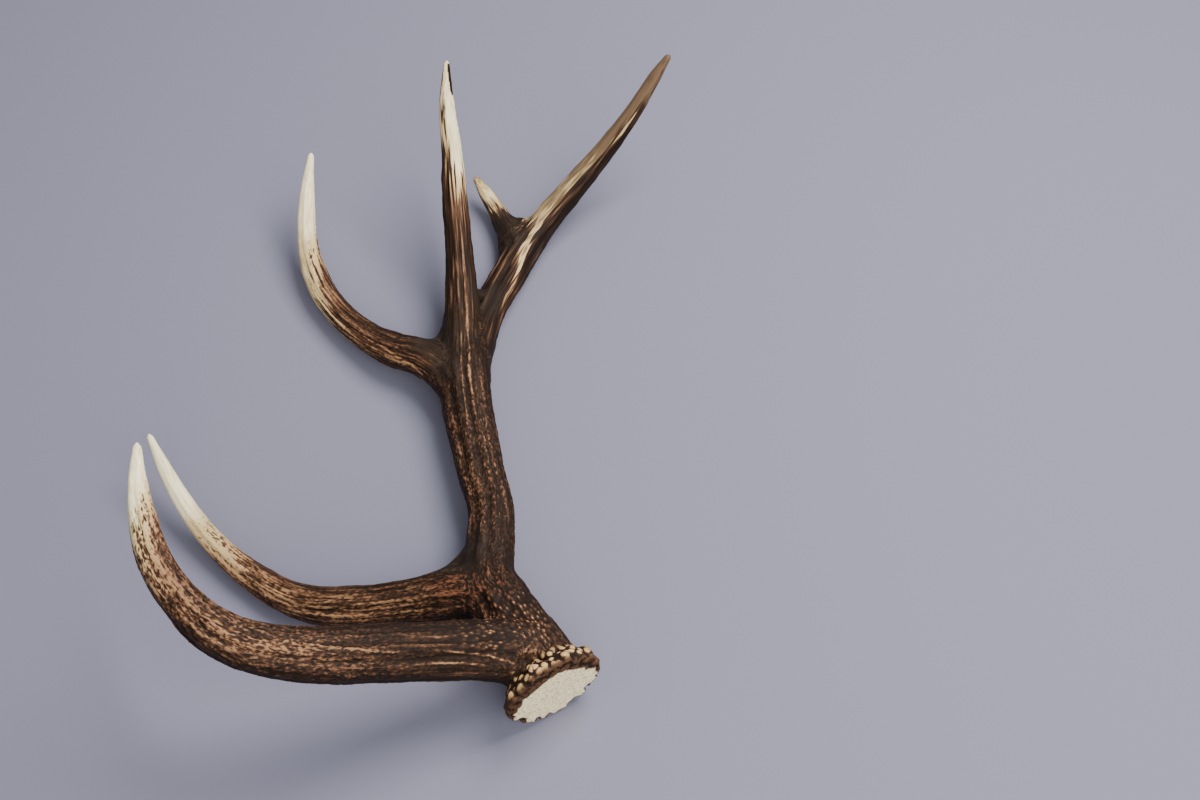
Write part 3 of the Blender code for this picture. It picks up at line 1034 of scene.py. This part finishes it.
@dataclass(frozen=True)
class Relief:
    """Heights of the skin's relief, in mm."""

    lump: float = 0.32
    swell: float = 0.32
    ridge: float = 0.34
    bead: float = 0.18
    dot: float = 0.3
    rib: float = 0.42
    pearl: float = 0.2
    knob: float = 0.55
    streak: float = 0.07
    spread: float = 0.16       # how far a noise value lies from its middle
    limit: float = 1.6         # the farthest that a value counts, in spreads
    full_radius: float = 16.0  # branches thinner than this have lower relief
    thinnest: float = 0.25     # what is left of the relief on the thinnest tips
    rounding: float = 2.4      # how far the burr's own edge curls back round the sawn face
    # Share of the relief that is lost in webs, on ivory, around the burr and on the sawn face,
    # and share of the beads that is lost where long ridges run.
    web_loss: float = 0.85
    ivory_loss: float = 0.92
    burr_loss: float = 0.6
    sawn_loss: float = 0.95
    bead_loss: float = 0.6

    def heights(self, noises: dict[str, Numbers], fields: dict[Field, Numbers],
                radii: Numbers) -> Numbers:
        """Return the height at each point of the skin.

        Args:
            noises: The noise values at the points, by name.
            fields: The skin's own values at the points.
            radii: The branch's radius at the points, in mm.

        Returns:
            Heights in mm.
        """
        signed = {name: np.clip((value - 0.5) / self.spread, -self.limit, self.limit)
                  for name, value in noises.items()}
        along, edge = fields[Field.ALONG], fields[Field.EDGE]
        bare = ((1.0 - self.web_loss * fields[Field.WEB])
                * (1.0 - self.ivory_loss * fields[Field.IVORY]))
        dotted = fields[Field.DOTTED]
        beads = self.bead * signed["beads"] * (1.0 - dotted) + self.dot * signed["dots"] * dotted
        straight = (along * self.ridge * signed["ridges"] + self.swell * signed["swells"]
                    + (1.0 - self.bead_loss * along) * beads)
        bark = edge * straight + (1.0 - edge) * self.pearl * signed["pearls"]
        bark = bark * bare + self.rib * fields[Field.RIB]
        thin = np.clip(radii / self.full_radius, self.thinnest, 1.0)
        ivory = self.streak * signed["streaks"] * fields[Field.IVORY]
        height = thin * (bark + ivory + self.lump * signed["lumps"])
        burr = fields[Field.BURR]
        height = height * (1.0 - self.burr_loss * burr) + self.knob * signed["knobs"] * burr
        return height * (1.0 - self.sawn_loss * fields[Field.SAWN])


# ---------------------------------------------------------------- the fused skin
@dataclass
class Skin:
    """The whole antler as one fine closed mesh."""

    burr: Burr
    voxel: float = 1.2
    web_reach: float = 40
    web_steepness: float = 2.0
    web_smoothing: tuple[int, float] = (120, 0.6)
    even_smoothing: tuple[int, float] = (4, 0.5)
    web_levels: int = 20
    course_spacing: float = 1000.0    # mm between the patterns of one course and the next
    edge_width: float = 7.0
    root_depth: float = 9.0
    root_from: float = 0.4     # share of a root that is wholly covered by what carries it
    burr_span: Span = (15.0, 24.0)    # mm behind the sawn face where the burr's look ends
    cream_depth: Span = (2.5, 7.0)    # mm behind the sawn face where the pale tops begin
    cream_height: Span = (0.3, 0.7)   # how high on the burr they begin; the painted highlight keeps to its upper side
    face_depth: float = 0.35   # mm within which a place lies on the sawn face
    face_reach: float = 2.0    # mm within which a place may move with it
    upper: Span = (-0.2, 0.2)  # how high on a branch its placed ridges begin
    rim_height: Span = (-0.35, 0.65)  # how high on the burr the sawn face's rim widens
    rim_start: float = 0.6     # mm by which the rim's own edge lies inside the face
    core_span: Span = (0.8, 1.0)      # share of the rim over which the pale core begins
    under_shade: float = 0.5   # painted shade: how much the underside is darkened, against the two edges
    ivory_shade: float = 1.5   # how much less ivory there is where painted shade darkens the bark
    ivory_side: float = -0.5   # how high on a branch the ivory leans to one side
    rib_on_web: float = 0.7    # how much of a web a long ridge clears
    relief_rounds: int = 5
    relief: Relief = field(default_factory=Relief)
    mesh: bpy.types.Mesh | None = None

    def build(self) -> None:
        """Build the skin, its fields and its relief."""
        self.fuse()
        places = places_of(self.mesh) - np.array(REST_SHIFT)
        fields, radii = self.fields(places)
        store(self.mesh, Field.STRAIGHT, fields.pop(Field.STRAIGHT))
        noises = self.sampled()
        moved = places_of(self.mesh)
        moved += normals_of(self.mesh) * self.relief.heights(noises, fields, radii)[:, None]
        moved += self.curl(places)
        self.mesh.vertices.foreach_set("co", (moved * MM).astype(np.float32).ravel())
        self.mesh.update()
        fields[Field.RELIEF] = self.standing_out()
        for name, values in fields.items():
            store(self.mesh, name, values)
        store(self.mesh, Field.NORMAL, normals_of(self.mesh))

    def curl(self, places: Numbers) -> Numbers:
        """Round the sawn face's brown rim back.

        Args:
            places: Points in mm.

        Returns:
            How far each point moves, in mm.
        """
        depth = self.burr.depth(places)
        near = np.flatnonzero(depth < self.face_reach)
        share = np.zeros(len(places))
        share[near] = 1.0 - self.rimward(places[near], depth[near])
        axis = np.array(Vector(self.burr.axis).normalized())
        return self.relief.rounding * (share ** 2)[:, None] * axis

    def rimward(self, places: Numbers, depth: Numbers) -> Numbers:
        """Return 0 at the sawn face's edge, 1 inside its brown rim, and 1 off the face.

        Args:
            places: Points in mm near the face.
            depth: How far they lie behind the face.

        Returns:
            How far in from the edge each lies, as a share of the rim there.
        """
        flat = np.flatnonzero(depth < self.face_depth)
        around = places[depth >= self.face_depth]
        share = np.ones(len(places))
        low, high = self.burr.rim
        width = low + (high - low) * smoothstep(*self.rim_height, self.burr.height(places[flat]))
        near = np.array([((around - place) ** 2).sum(1).min() for place in places[flat]])
        share[flat] = np.clip((np.sqrt(near) - self.rim_start) / width, 0.0, 1.0)
        return share

    def standing_out(self) -> Numbers:
        """Compare each point with the skin around it.

        Returns:
            How far each point stands out, in mm.
        """
        places, normals = places_of(self.mesh), normals_of(self.mesh)
        ends = column(self.mesh.edges, "vertices", 2, np.int32)
        first, second = ends.T
        count = np.bincount(ends.ravel(), minlength=len(places))
        around = places.copy()
        for _ in range(self.relief_rounds):
            around = np.stack([
                (np.bincount(first, around[second, axis], len(places))
                 + np.bincount(second, around[first, axis], len(places))) / count
                for axis in range(3)], axis=1)
        return ((places - around) * normals).sum(1)

    def fuse(self) -> None:
        """Fuse the tubes and the burr, and soften the forks."""
        bm = bmesh.new()
        for shell in (*(Branch(stations).tube() for stations in (*TUBES, *CORNERS)),
                      *self.burr.shells()):
            bm.from_mesh(shell)
        self.burr.saw(bm)
        bmesh.ops.recalc_face_normals(bm, faces=bm.faces)
        bmesh.ops.translate(bm, vec=Vector(REST_SHIFT) * MM, verts=bm.verts)
        obj = added("skin", finished(bm, "shells"))
        remesh = obj.modifiers.new("fuse", "REMESH")
        remesh.mode = "VOXEL"
        remesh.voxel_size = self.voxel * MM
        obj.data = evaluated(obj)
        obj.modifiers.clear()
        self.weigh_webs(obj)
        for name, (iterations, factor), group in (
                ("webs", self.web_smoothing, "webs"), ("even", self.even_smoothing, "")):
            smooth = obj.modifiers.new(name, "SMOOTH")
            smooth.iterations = iterations
            smooth.factor = factor
            smooth.vertex_group = group
        self.mesh = evaluated(obj)
        self.mesh.shade_smooth()
        bpy.data.objects.remove(obj, do_unlink=True)
        LOG.info("skin: %d faces", len(self.mesh.polygons))

    def weigh_webs(self, obj: bpy.types.Object) -> None:
        """Weight the points around each fork, full near the fork.

        Args:
            obj: The fused skin's object.
        """
        group = obj.vertex_groups.new(name="webs")
        places = places_of(obj.data) - np.array(REST_SHIFT)
        roots = np.array([fork.stations[1][:3] for fork in FORKS], dtype=float)
        away = np.sqrt(((places[:, None, :] - roots[None, :, :]) ** 2).sum(2)).min(1)
        weights = np.clip(self.web_steepness * (1.0 - away / self.web_reach), 0.0, 1.0)
        levels = np.round(weights * self.web_levels).astype(int)
        for level in range(1, self.web_levels + 1):
            members = np.flatnonzero(levels == level).tolist()
            group.add(members, level / self.web_levels, "REPLACE")

    def fields(self, places: Numbers) -> tuple[dict[Field, Numbers], Numbers]:
        """Return the skin's values at places, and the branch's radius there.

        Args:
            places: Points in mm, before the rest shift.

        Returns:
            The values by field, and the radii in mm.
        """
        count = len(places)
        best, second = np.full(count, 1e9), np.full(count, 1e9)
        straight = np.zeros((count, 3))
        light, ivory, stain, along, rib, radii = (np.zeros(count) for _ in range(6))
        for number, course in enumerate(COURSES):
            path = course.path()
            arc, across, excess, facing = path.locate(places)
            if course.root:
                covered = 1.0 - smoothstep(self.root_from * course.root, course.root, arc)
                excess += self.root_depth * covered
            nearer = excess < best
            second = np.where(nearer, best, np.minimum(second, excess))
            best = np.where(nearer, excess, best)
            here = np.flatnonzero(nearer)
            arc, right, up = arc[here], facing[here, 0], facing[here, 1]
            share = arc / path.arc[-1]
            radii[here] = np.interp(arc, path.arc, path.radii)
            # Painted shade: both sides and the underside are darkened and lose ivory, and the lean
            # darkens one side against the other, partly as the horn's own tone.
            under = self.under_shade * (up < 0.0) * up ** 2
            shaded = course.table("edges", share) * (right ** 2 + under)
            light[here] = (course.table("light", share) - shaded
                           + course.table("lean", share) * right)
            ivory[here] = (course.table("ivory", share) - self.ivory_shade * shaded
                           + course.table("bare_lean", share) * right * (up > self.ivory_side))
            along[here] = course.table("along", share)
            stain[here] = course.table("stain", share)
            rib[here] = 0.0
            for item in course.ribs:
                strength = item.strength(share, right, radii[here]) * smoothstep(*self.upper, up)
                rib[here] += item.tone * strength
                light[here] += item.light * strength
                ivory[here] += item.ivory * strength
            straight[here, 0] = arc + self.course_spacing * number
            straight[here, 1:] = across[here]
        edge = smoothstep(0.0, self.edge_width, second - best)
        depth = self.burr.depth(places)
        burr = 1.0 - smoothstep(*self.burr_span, depth)
        height = self.burr.height(places)
        web, red, dotted = (
            np.max([patch.share(places) for patch in patches], axis=0)
            for patches in (WEBS, RED_PATCHES, DOTTED_PATCHES))
        return {
            Field.STRAIGHT: straight, Field.LIGHT: light,
            Field.RIB: np.clip(rib, -1.0, 1.0) * (1.0 - burr),
            Field.IVORY: np.clip(ivory, 0.0, 1.0), Field.STAIN: stain, Field.ALONG: along,
            Field.EDGE: edge * (1.0 - burr), Field.WEB: web * (1.0 - self.rib_on_web * rib),
            Field.BURR: burr, Field.SAWN: self.sawn(places, depth),
            Field.CREAM: (smoothstep(*self.cream_depth, depth)
                          * smoothstep(*self.cream_height, height)),
            Field.RED: red, Field.DOTTED: dotted}, radii

    def sawn(self, places: Numbers, depth: Numbers) -> Numbers:
        """Find the pale core of the sawn face.

        Args:
            places: Points in mm.
            depth: How far they lie behind the face.

        Returns:
            1 in the core, and 0 on its rim and elsewhere.
        """
        core = np.zeros(len(places))
        near = np.flatnonzero(depth < self.face_reach)
        inside = self.rimward(places[near], depth[near]) * (depth[near] < self.face_depth)
        core[near] = smoothstep(*self.core_span, inside)
        return core

    def sampled(self) -> dict[str, Numbers]:
        """Read the shaping patterns at the skin's points, by the same nodes as the shader's.

        Returns:
            The patterns' values by name.
        """
        tree = bpy.data.node_groups.new("noises", "GeometryNodeTree")
        for side in ("INPUT", "OUTPUT"):
            tree.interface.new_socket("Geometry", in_out=side, socket_type="NodeSocketGeometry")
        graph = Graph(tree)
        straight = graph.node(
            "GeometryNodeInputNamedAttribute", {"data_type": "FLOAT_VECTOR"},
            {"Name": Field.STRAIGHT.value}, output="Attribute")
        position = graph.in_mm(graph.node("GeometryNodeInputPosition"))
        flow = graph.node("NodeGroupInput")
        for name, value in laid_out(SHAPING, graph, straight, position).items():
            flow = graph.node(
                "GeometryNodeStoreNamedAttribute", {"data_type": "FLOAT", "domain": "POINT"},
                {"Geometry": flow, "Name": name, "Value": value})
        graph.node("NodeGroupOutput", {}, {0: flow})
        obj = added("sampler", self.mesh)
        obj.modifiers.new("noises", "NODES").node_group = tree
        mesh = evaluated(obj)
        found = {name: column(mesh.attributes[name].data, "value").astype(float) for name in SHAPING}
        bpy.data.objects.remove(obj, do_unlink=True)
        bpy.data.meshes.remove(mesh)
        bpy.data.node_groups.remove(tree)
        return found


# ---------------------------------------------------------------- finish
@dataclass(frozen=True)
class HornFinish:
    """The horn's colours, marks and gloss."""

    furrow: Colour = shade(31, 20, 13)
    brown: Colour = shade(54, 36, 24)
    rust: Colour = shade(72, 47, 32)
    tan: Colour = shade(114, 80, 56)
    crest: Colour = shade(176, 134, 93)
    ivory: Colour = shade(255, 242, 196)
    cream: Colour = shade(212, 183, 130)
    stained: Colour = shade(104, 82, 60)
    web: Colour = shade(37, 27, 20)
    web_crest: Colour = shade(64, 50, 39)
    red: Colour = shade(126, 74, 50)
    bone: Colour = shade(252, 238, 196)
    bone_pit: Colour = shade(196, 174, 122)
    gap: Colour = shade(36, 24, 17)
    knob: Colour = shade(80, 55, 37)
    # The burr's pale tops: partly wear, partly painted highlight on the upper pearls.
    knob_crest: Colour = shade(208, 170, 116)

    # How strongly each pattern and value lightens the bark, and how strongly a web darkens it.
    ridge_contrast: float = 1.3
    light_weight: float = 0.66
    swell_weight: float = 0.34
    tone_weight: float = 0.15
    grain_weight: float = 0.08
    rib_weight: float = 0.26
    web_weight: float = 0.20
    relief_weight: float = 0.12
    # Levels between which the bark passes from furrow to brown, rust, tan and crest.
    to_brown: Span = (-0.26, -0.06)
    to_rust: Span = (-0.07, 0.02)
    to_tan: Span = (0.0, 0.08)
    to_crest: Span = (0.08, 0.2)
    to_red: Span = (-0.18, 0.08)
    to_web_crest: Span = (-0.5, 0.0)
    to_mark: Span = (-0.04, 0.08)      # where the marks are glossier and stand out
    to_bright: Span = (0.3, 0.75)      # share of light marks that makes them brighter
    to_pale: Span = (0.02, 0.6)        # nearness of the ivory that makes them paler
    to_bare: Span = (0.60, 0.85)       # where the bark ends on bare ivory
    to_cream: Span = (0.0, 0.45)       # stain that turns ivory to cream
    to_stained: Span = (0.35, 0.8)     # stain that turns it brown
    to_knob: Span = (-0.2, 0.16)       # where the burr's knobs rise from its gaps
    to_top: Span = (0.12, 0.42)        # where their pale tops begin: partly wear, partly painted highlight
    to_bone: Span = (0.30, 0.58)       # where the sawn bone rises from its pits
    # How much ribs and dots have of the brightest crest, and how full webs and red horn are.
    rib_crest: float = 0.6
    dot_crest: float = 0.8
    web_share: float = 0.85
    red_share: float = 0.6
    # How ragged streaks and marks make the ivory's edge, the stain and the pale tops.
    bare_streaks: float = 0.6
    bare_marks: float = 0.5
    stain_streaks: float = 0.9
    stain_tones: float = 0.5
    top_pits: float = 0.8
    top_knobs: float = 0.7
    # Roughness of the bark, what marks and ivory take from it and sawn bone adds, and gloss.
    roughness: float = 0.58
    mark_smooth: float = 0.10
    bare_smooth: float = 0.08
    sawn_rough: float = 0.35
    specular: float = 0.1
    # Heights in the bump, what ivory and the burr take from it, and its full depth in mm.
    mark_height: float = 0.5
    pattern_height: float = 1.6
    streak_height: float = 0.3
    grain_height: float = 0.2
    pit_height: float = 0.9
    bare_loss: float = 0.8
    burr_loss: float = 0.7
    bump_strength: float = 0.6
    bump_depth: float = 0.4

    def material(self) -> bpy.types.Material:
        """Make the horn's material.

        Returns:
            The material, which reads Object coordinates and the skin's own values.
        """
        material = bpy.data.materials.new("horn")
        material.use_nodes = True
        graph = Graph(material.node_tree)
        shader = material.node_tree.nodes["Principled BSDF"]
        straight = graph.node(
            "ShaderNodeAttribute", {"attribute_name": Field.STRAIGHT.value}, output="Vector")
        position = graph.in_mm(graph.node("ShaderNodeTexCoord", output="Object"))
        marks = laid_out(COLOURING, graph, straight, position)
        fields = {name: graph.field(name) for name in Field
                  if name not in (Field.STRAIGHT, Field.NORMAL)}
        long = (marks["ridges"] - 0.5) * self.ridge_contrast + 0.5
        inner = marks["beads"] + (long - marks["beads"]) * fields[Field.ALONG]
        inner = inner + (marks["dots"] - inner) * fields[Field.DOTTED]
        pattern = marks["pearls"] + (inner - marks["pearls"]) * fields[Field.EDGE]
        level = self.level(pattern, marks, fields)
        ivory = fields[Field.IVORY] + (marks["streaks"] - 0.5) * self.bare_streaks
        bare = graph.rise(ivory + (inner - 0.5) * self.bare_marks, *self.to_bare)
        mark = graph.rise(level, *self.to_mark) * (1.0 - fields[Field.BURR])
        colour = graph.blend(
            bare, self.bark(graph, level, fields, marks), self.tip(graph, fields, marks))
        colour = graph.blend(fields[Field.BURR], colour, self.burr(graph, fields, marks))
        bone = graph.blend(graph.rise(marks["pits"], *self.to_bone), self.bone_pit, self.bone)
        colour = graph.blend(fields[Field.SAWN], colour, bone)
        rough = (self.roughness - mark * self.mark_smooth - bare * self.bare_smooth
                 + fields[Field.SAWN] * self.sawn_rough)
        height = mark * self.mark_height + pattern * self.pattern_height
        height = (height * (1.0 - bare * self.bare_loss)
                  + marks["streaks"] * bare * self.streak_height)
        height = (height * (1.0 - fields[Field.BURR] * self.burr_loss)
                  + marks["grain"] * self.grain_height
                  + marks["pits"] * fields[Field.SAWN] * self.pit_height)
        bump = graph.node(
            "ShaderNodeBump", {},
            {"Strength": self.bump_strength, "Distance": self.bump_depth * MM, "Height": height})
        graph.plug(shader.inputs["Base Color"], colour)
        graph.plug(shader.inputs["Roughness"], rough)
        graph.plug(shader.inputs["Normal"], bump)
        shader.inputs["Specular IOR Level"].default_value = self.specular
        return material

    def level(self, pattern: Sock, marks: dict[str, Sock], fields: dict[Field, Sock]) -> Sock:
        """Weigh everything that makes a place a furrow or a crest.

        Args:
            pattern: The marks that stand there.
            marks: The patterns by name.
            fields: The skin's own values.

        Returns:
            The level, below 0 in a furrow and above 0 on a crest.
        """
        return ((pattern - 0.5) + (fields[Field.LIGHT] - 0.5) * self.light_weight
                + (marks["swells"] - 0.5) * self.swell_weight
                + (marks["tones"] - 0.5) * self.tone_weight
                + (marks["grain"] - 0.5) * self.grain_weight
                + fields[Field.RIB] * self.rib_weight - fields[Field.WEB] * self.web_weight
                + fields[Field.RELIEF] * self.relief_weight)

    def bark(self, graph: Graph, level: Sock, fields: dict[Field, Sock],
             marks: dict[str, Sock]) -> Sock:
        """Colour the bark.

        Args:
            graph: The material's graph.
            level: How far a place is from furrow to crest.
            fields: The skin's own values.
            marks: The patterns by name.

        Returns:
            The colour, in tones from furrow to crest.
        """
        bright = graph.rise(fields[Field.LIGHT], *self.to_bright)
        pale = graph.rise(fields[Field.IVORY], *self.to_pale)
        tan = graph.blend(bright, graph.blend(marks["tones"], self.rust, self.tan), self.tan)
        tan = graph.blend(pale, tan, self.stained)
        crest = graph.blend(bright, self.tan, self.crest)
        crest = graph.blend(
            fields[Field.RIB] * self.rib_crest + fields[Field.DOTTED] * self.dot_crest,
            crest, self.crest)
        crest = graph.blend(pale, crest, self.cream)
        web = graph.blend(graph.rise(level, *self.to_web_crest), self.web, self.web_crest)
        colour = graph.blend(graph.rise(level, *self.to_brown), self.furrow, self.brown)
        colour = graph.blend(fields[Field.WEB] * self.web_share, colour, web)
        for span, tone in ((self.to_rust, self.rust), (self.to_tan, tan), (self.to_crest, crest)):
            colour = graph.blend(graph.rise(level, *span), colour, tone)
        reddish = graph.blend(graph.rise(level, *self.to_red), colour, self.red)
        return graph.blend(fields[Field.RED] * self.red_share, colour, reddish)

    def tip(self, graph: Graph, fields: dict[Field, Sock], marks: dict[str, Sock]) -> Sock:
        """Colour the bare tips, with fine streaks.

        Args:
            graph: The material's graph.
            fields: The skin's own values.
            marks: The patterns by name.

        Returns:
            The colour, from ivory to brown stain.
        """
        stain = (fields[Field.STAIN] + (marks["streaks"] - 0.5) * self.stain_streaks
                 + (marks["tones"] - 0.5) * self.stain_tones)
        colour = graph.blend(graph.rise(stain, *self.to_cream), self.ivory, self.cream)
        return graph.blend(graph.rise(stain, *self.to_stained), colour, self.stained)

    def burr(self, graph: Graph, fields: dict[Field, Sock], marks: dict[str, Sock]) -> Sock:
        """Colour the burr's pearls.

        Args:
            graph: The material's graph.
            fields: The skin's own values.
            marks: The patterns by name.

        Returns:
            The colour, dark in the gaps and pale on the tops, partly wear and partly painted highlight.
        """
        stands = (fields[Field.RELIEF] + (marks["pits"] - 0.5) * self.top_pits
                  + (marks["knobs"] - 0.5) * self.top_knobs)
        colour = graph.blend(graph.rise(stands, *self.to_knob), self.gap, self.knob)
        # Pale tops of the upper pearls: partly wear, partly painted highlight.
        top = graph.rise(stands, *self.to_top)
        return graph.blend(top * fields[Field.CREAM], colour, self.knob_crest)


# ---------------------------------------------------------------- the antler
@dataclass
class Antler:
    """The antler's seven pieces, one for each node."""

    skin: Skin
    finish: HornFinish
    pieces: dict[str, bpy.types.Object] = field(default_factory=dict)

    MIDDLES = {
        "beam": BEAM_STATIONS[6], "brow_tine": BROW_STATIONS[6], "bez_tine": BEZ_STATIONS[5],
        "trez_tine": TREZ_STATIONS[5], "crown_front_tine": FRONT_STATIONS[4],
        "crown_rear_tine": REAR_STATIONS[5], "crown_back_point": BACK_STATIONS[3]}

    def build(self) -> None:
        """Build, part and dress the skin."""
        self.skin.build()
        self.part()
        material = self.finish.material()
        for node, piece in self.pieces.items():
            self.keep_normals(piece.data)
            piece.data.materials.clear()
            piece.data.materials.append(material)
            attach(piece, BODY)
            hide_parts(node)
            LOG.info("%s: %d faces", piece.name, len(piece.data.polygons))

    def part(self) -> None:
        """Part the skin at the forks into one piece for each node."""
        bm = bmesh.new()
        bm.from_mesh(self.skin.mesh)
        shift = Vector(REST_SHIFT) * MM
        bmesh.ops.translate(bm, vec=-shift, verts=bm.verts)
        for fork in FORKS:
            fork.part(bm)
        bmesh.ops.translate(bm, vec=shift, verts=bm.verts)
        found = self.loose_parts(added("parts", finished(bm, "parts")))
        clouds = {part.name: places_of(part.data) for part in found}
        for node, station in self.MIDDLES.items():
            middle = np.array(station[:3], dtype=float)
            nearest = min(found, key=lambda part: ((clouds[part.name] - middle) ** 2).sum(1).min())
            self.pieces[node] = nearest
        for part in found:
            if part not in self.pieces.values():
                bpy.data.objects.remove(part, do_unlink=True)
        for node, piece in self.pieces.items():
            piece.name = piece.data.name = node + "_horn"

    @staticmethod
    def loose_parts(obj: bpy.types.Object) -> list[bpy.types.Object]:
        """Split an object into its loose parts.

        Args:
            obj: The object, which keeps one of the parts.

        Returns:
            The objects of all parts.
        """
        before = set(bpy.data.objects)
        bpy.ops.object.select_all(action="DESELECT")
        obj.select_set(True)
        bpy.context.view_layer.objects.active = obj
        bpy.ops.object.mode_set(mode="EDIT")
        bpy.ops.mesh.select_all(action="SELECT")
        bpy.ops.mesh.separate(type="LOOSE")
        bpy.ops.object.mode_set(mode="OBJECT")
        return [obj, *(item for item in bpy.data.objects if item not in before)]

    @staticmethod
    def keep_normals(mesh: bpy.types.Mesh) -> None:
        """Give a piece the fused skin's normals, so that no seam shows where it was parted.

        Args:
            mesh: The piece's mesh. The faces that close its cuts keep their own normals.
        """
        normals = column(mesh.attributes[Field.NORMAL.value].data, "vector", 3)
        corners = normals[column(mesh.loops, "vertex_index", kind=np.int32)]
        skin_corners = 8           # a face with more corners closes a cut
        for face in mesh.polygons:
            if face.loop_total > skin_corners:
                start = face.loop_start
                corners[start:start + face.loop_total] = face.normal
        mesh.shade_smooth()
        mesh.normals_split_custom_set(corners.tolist())
        mesh.attributes.remove(mesh.attributes[Field.NORMAL.value])


# ---------------------------------------------------------------- studio
@dataclass(frozen=True)
class SoftLight:
    """A square soft light that faces the antler."""

    name: str
    place: tuple[float, float, float]
    size: float
    power: float

    def build(self) -> None:
        """Add the light."""
        light = bpy.data.lights.new(self.name, "AREA")
        light.size = self.size
        light.energy = self.power
        obj = added(self.name, light)
        obj.location = self.place
        obj.rotation_euler = (-Vector(self.place)).to_track_quat("-Z", "Y").to_euler()


@dataclass(frozen=True)
class Studio:
    """A plain pale floor, soft light and the camera."""

    floor_size: float = 6.0
    floor: Colour = shade(122, 120, 136)
    floor_roughness: float = 0.9
    lights: tuple[SoftLight, ...] = (
        SoftLight("key", (0.8, 0.45, 1.7), 1.0, 54.0), SoftLight("fill", (0.8, -1.3, 1.2), 1.6, 34.0))
    sky: Colour = (0.75, 0.78, 0.85, 1.0)
    sky_strength: float = 0.56
    aim: tuple[float, float, float] = (0.1631, 0.0115, 0.0012)
    elevation: float = 58.0
    distance: float = 1.389
    lens: float = 45.0
    sensor: float = 36.0

    def build(self) -> None:
        """Build the floor, the lights and the camera."""
        self.add_floor()
        for light in self.lights:
            light.build()
        self.add_camera()
        world = bpy.data.worlds.new("studio")
        world.use_nodes = True
        background = world.node_tree.nodes["Background"]
        background.inputs["Color"].default_value = self.sky
        background.inputs["Strength"].default_value = self.sky_strength
        bpy.context.scene.world = world

    def add_floor(self) -> None:
        """Add the floor."""
        bm = bmesh.new()
        bmesh.ops.create_grid(bm, x_segments=2, y_segments=2, size=0.5 * self.floor_size)
        floor = added("floor", finished(bm, "floor"))
        material = bpy.data.materials.new("floor")
        material.use_nodes = True
        shader = material.node_tree.nodes["Principled BSDF"]
        shader.inputs["Base Color"].default_value = self.floor
        shader.inputs["Roughness"].default_value = self.floor_roughness
        floor.data.materials.append(material)

    def add_camera(self) -> None:
        """Add the camera at the photograph's viewing angle."""
        camera = bpy.data.cameras.new("camera")
        camera.lens = self.lens
        camera.sensor_width = self.sensor
        obj = added("camera", camera)
        rise = math.radians(self.elevation)
        back = Vector((0.0, -math.cos(rise), math.sin(rise)))
        obj.location = Vector(self.aim) + self.distance * back
        obj.rotation_euler = (math.radians(90.0 - self.elevation), 0.0, 0.0)
        bpy.context.scene.camera = obj


def main() -> None:
    """Build the scene."""
    logging.basicConfig(level=logging.INFO, format="%(message)s")
    Studio().build()
    Antler(Skin(Burr()), HornFinish()).build()


if __name__ == "__main__":
    main()
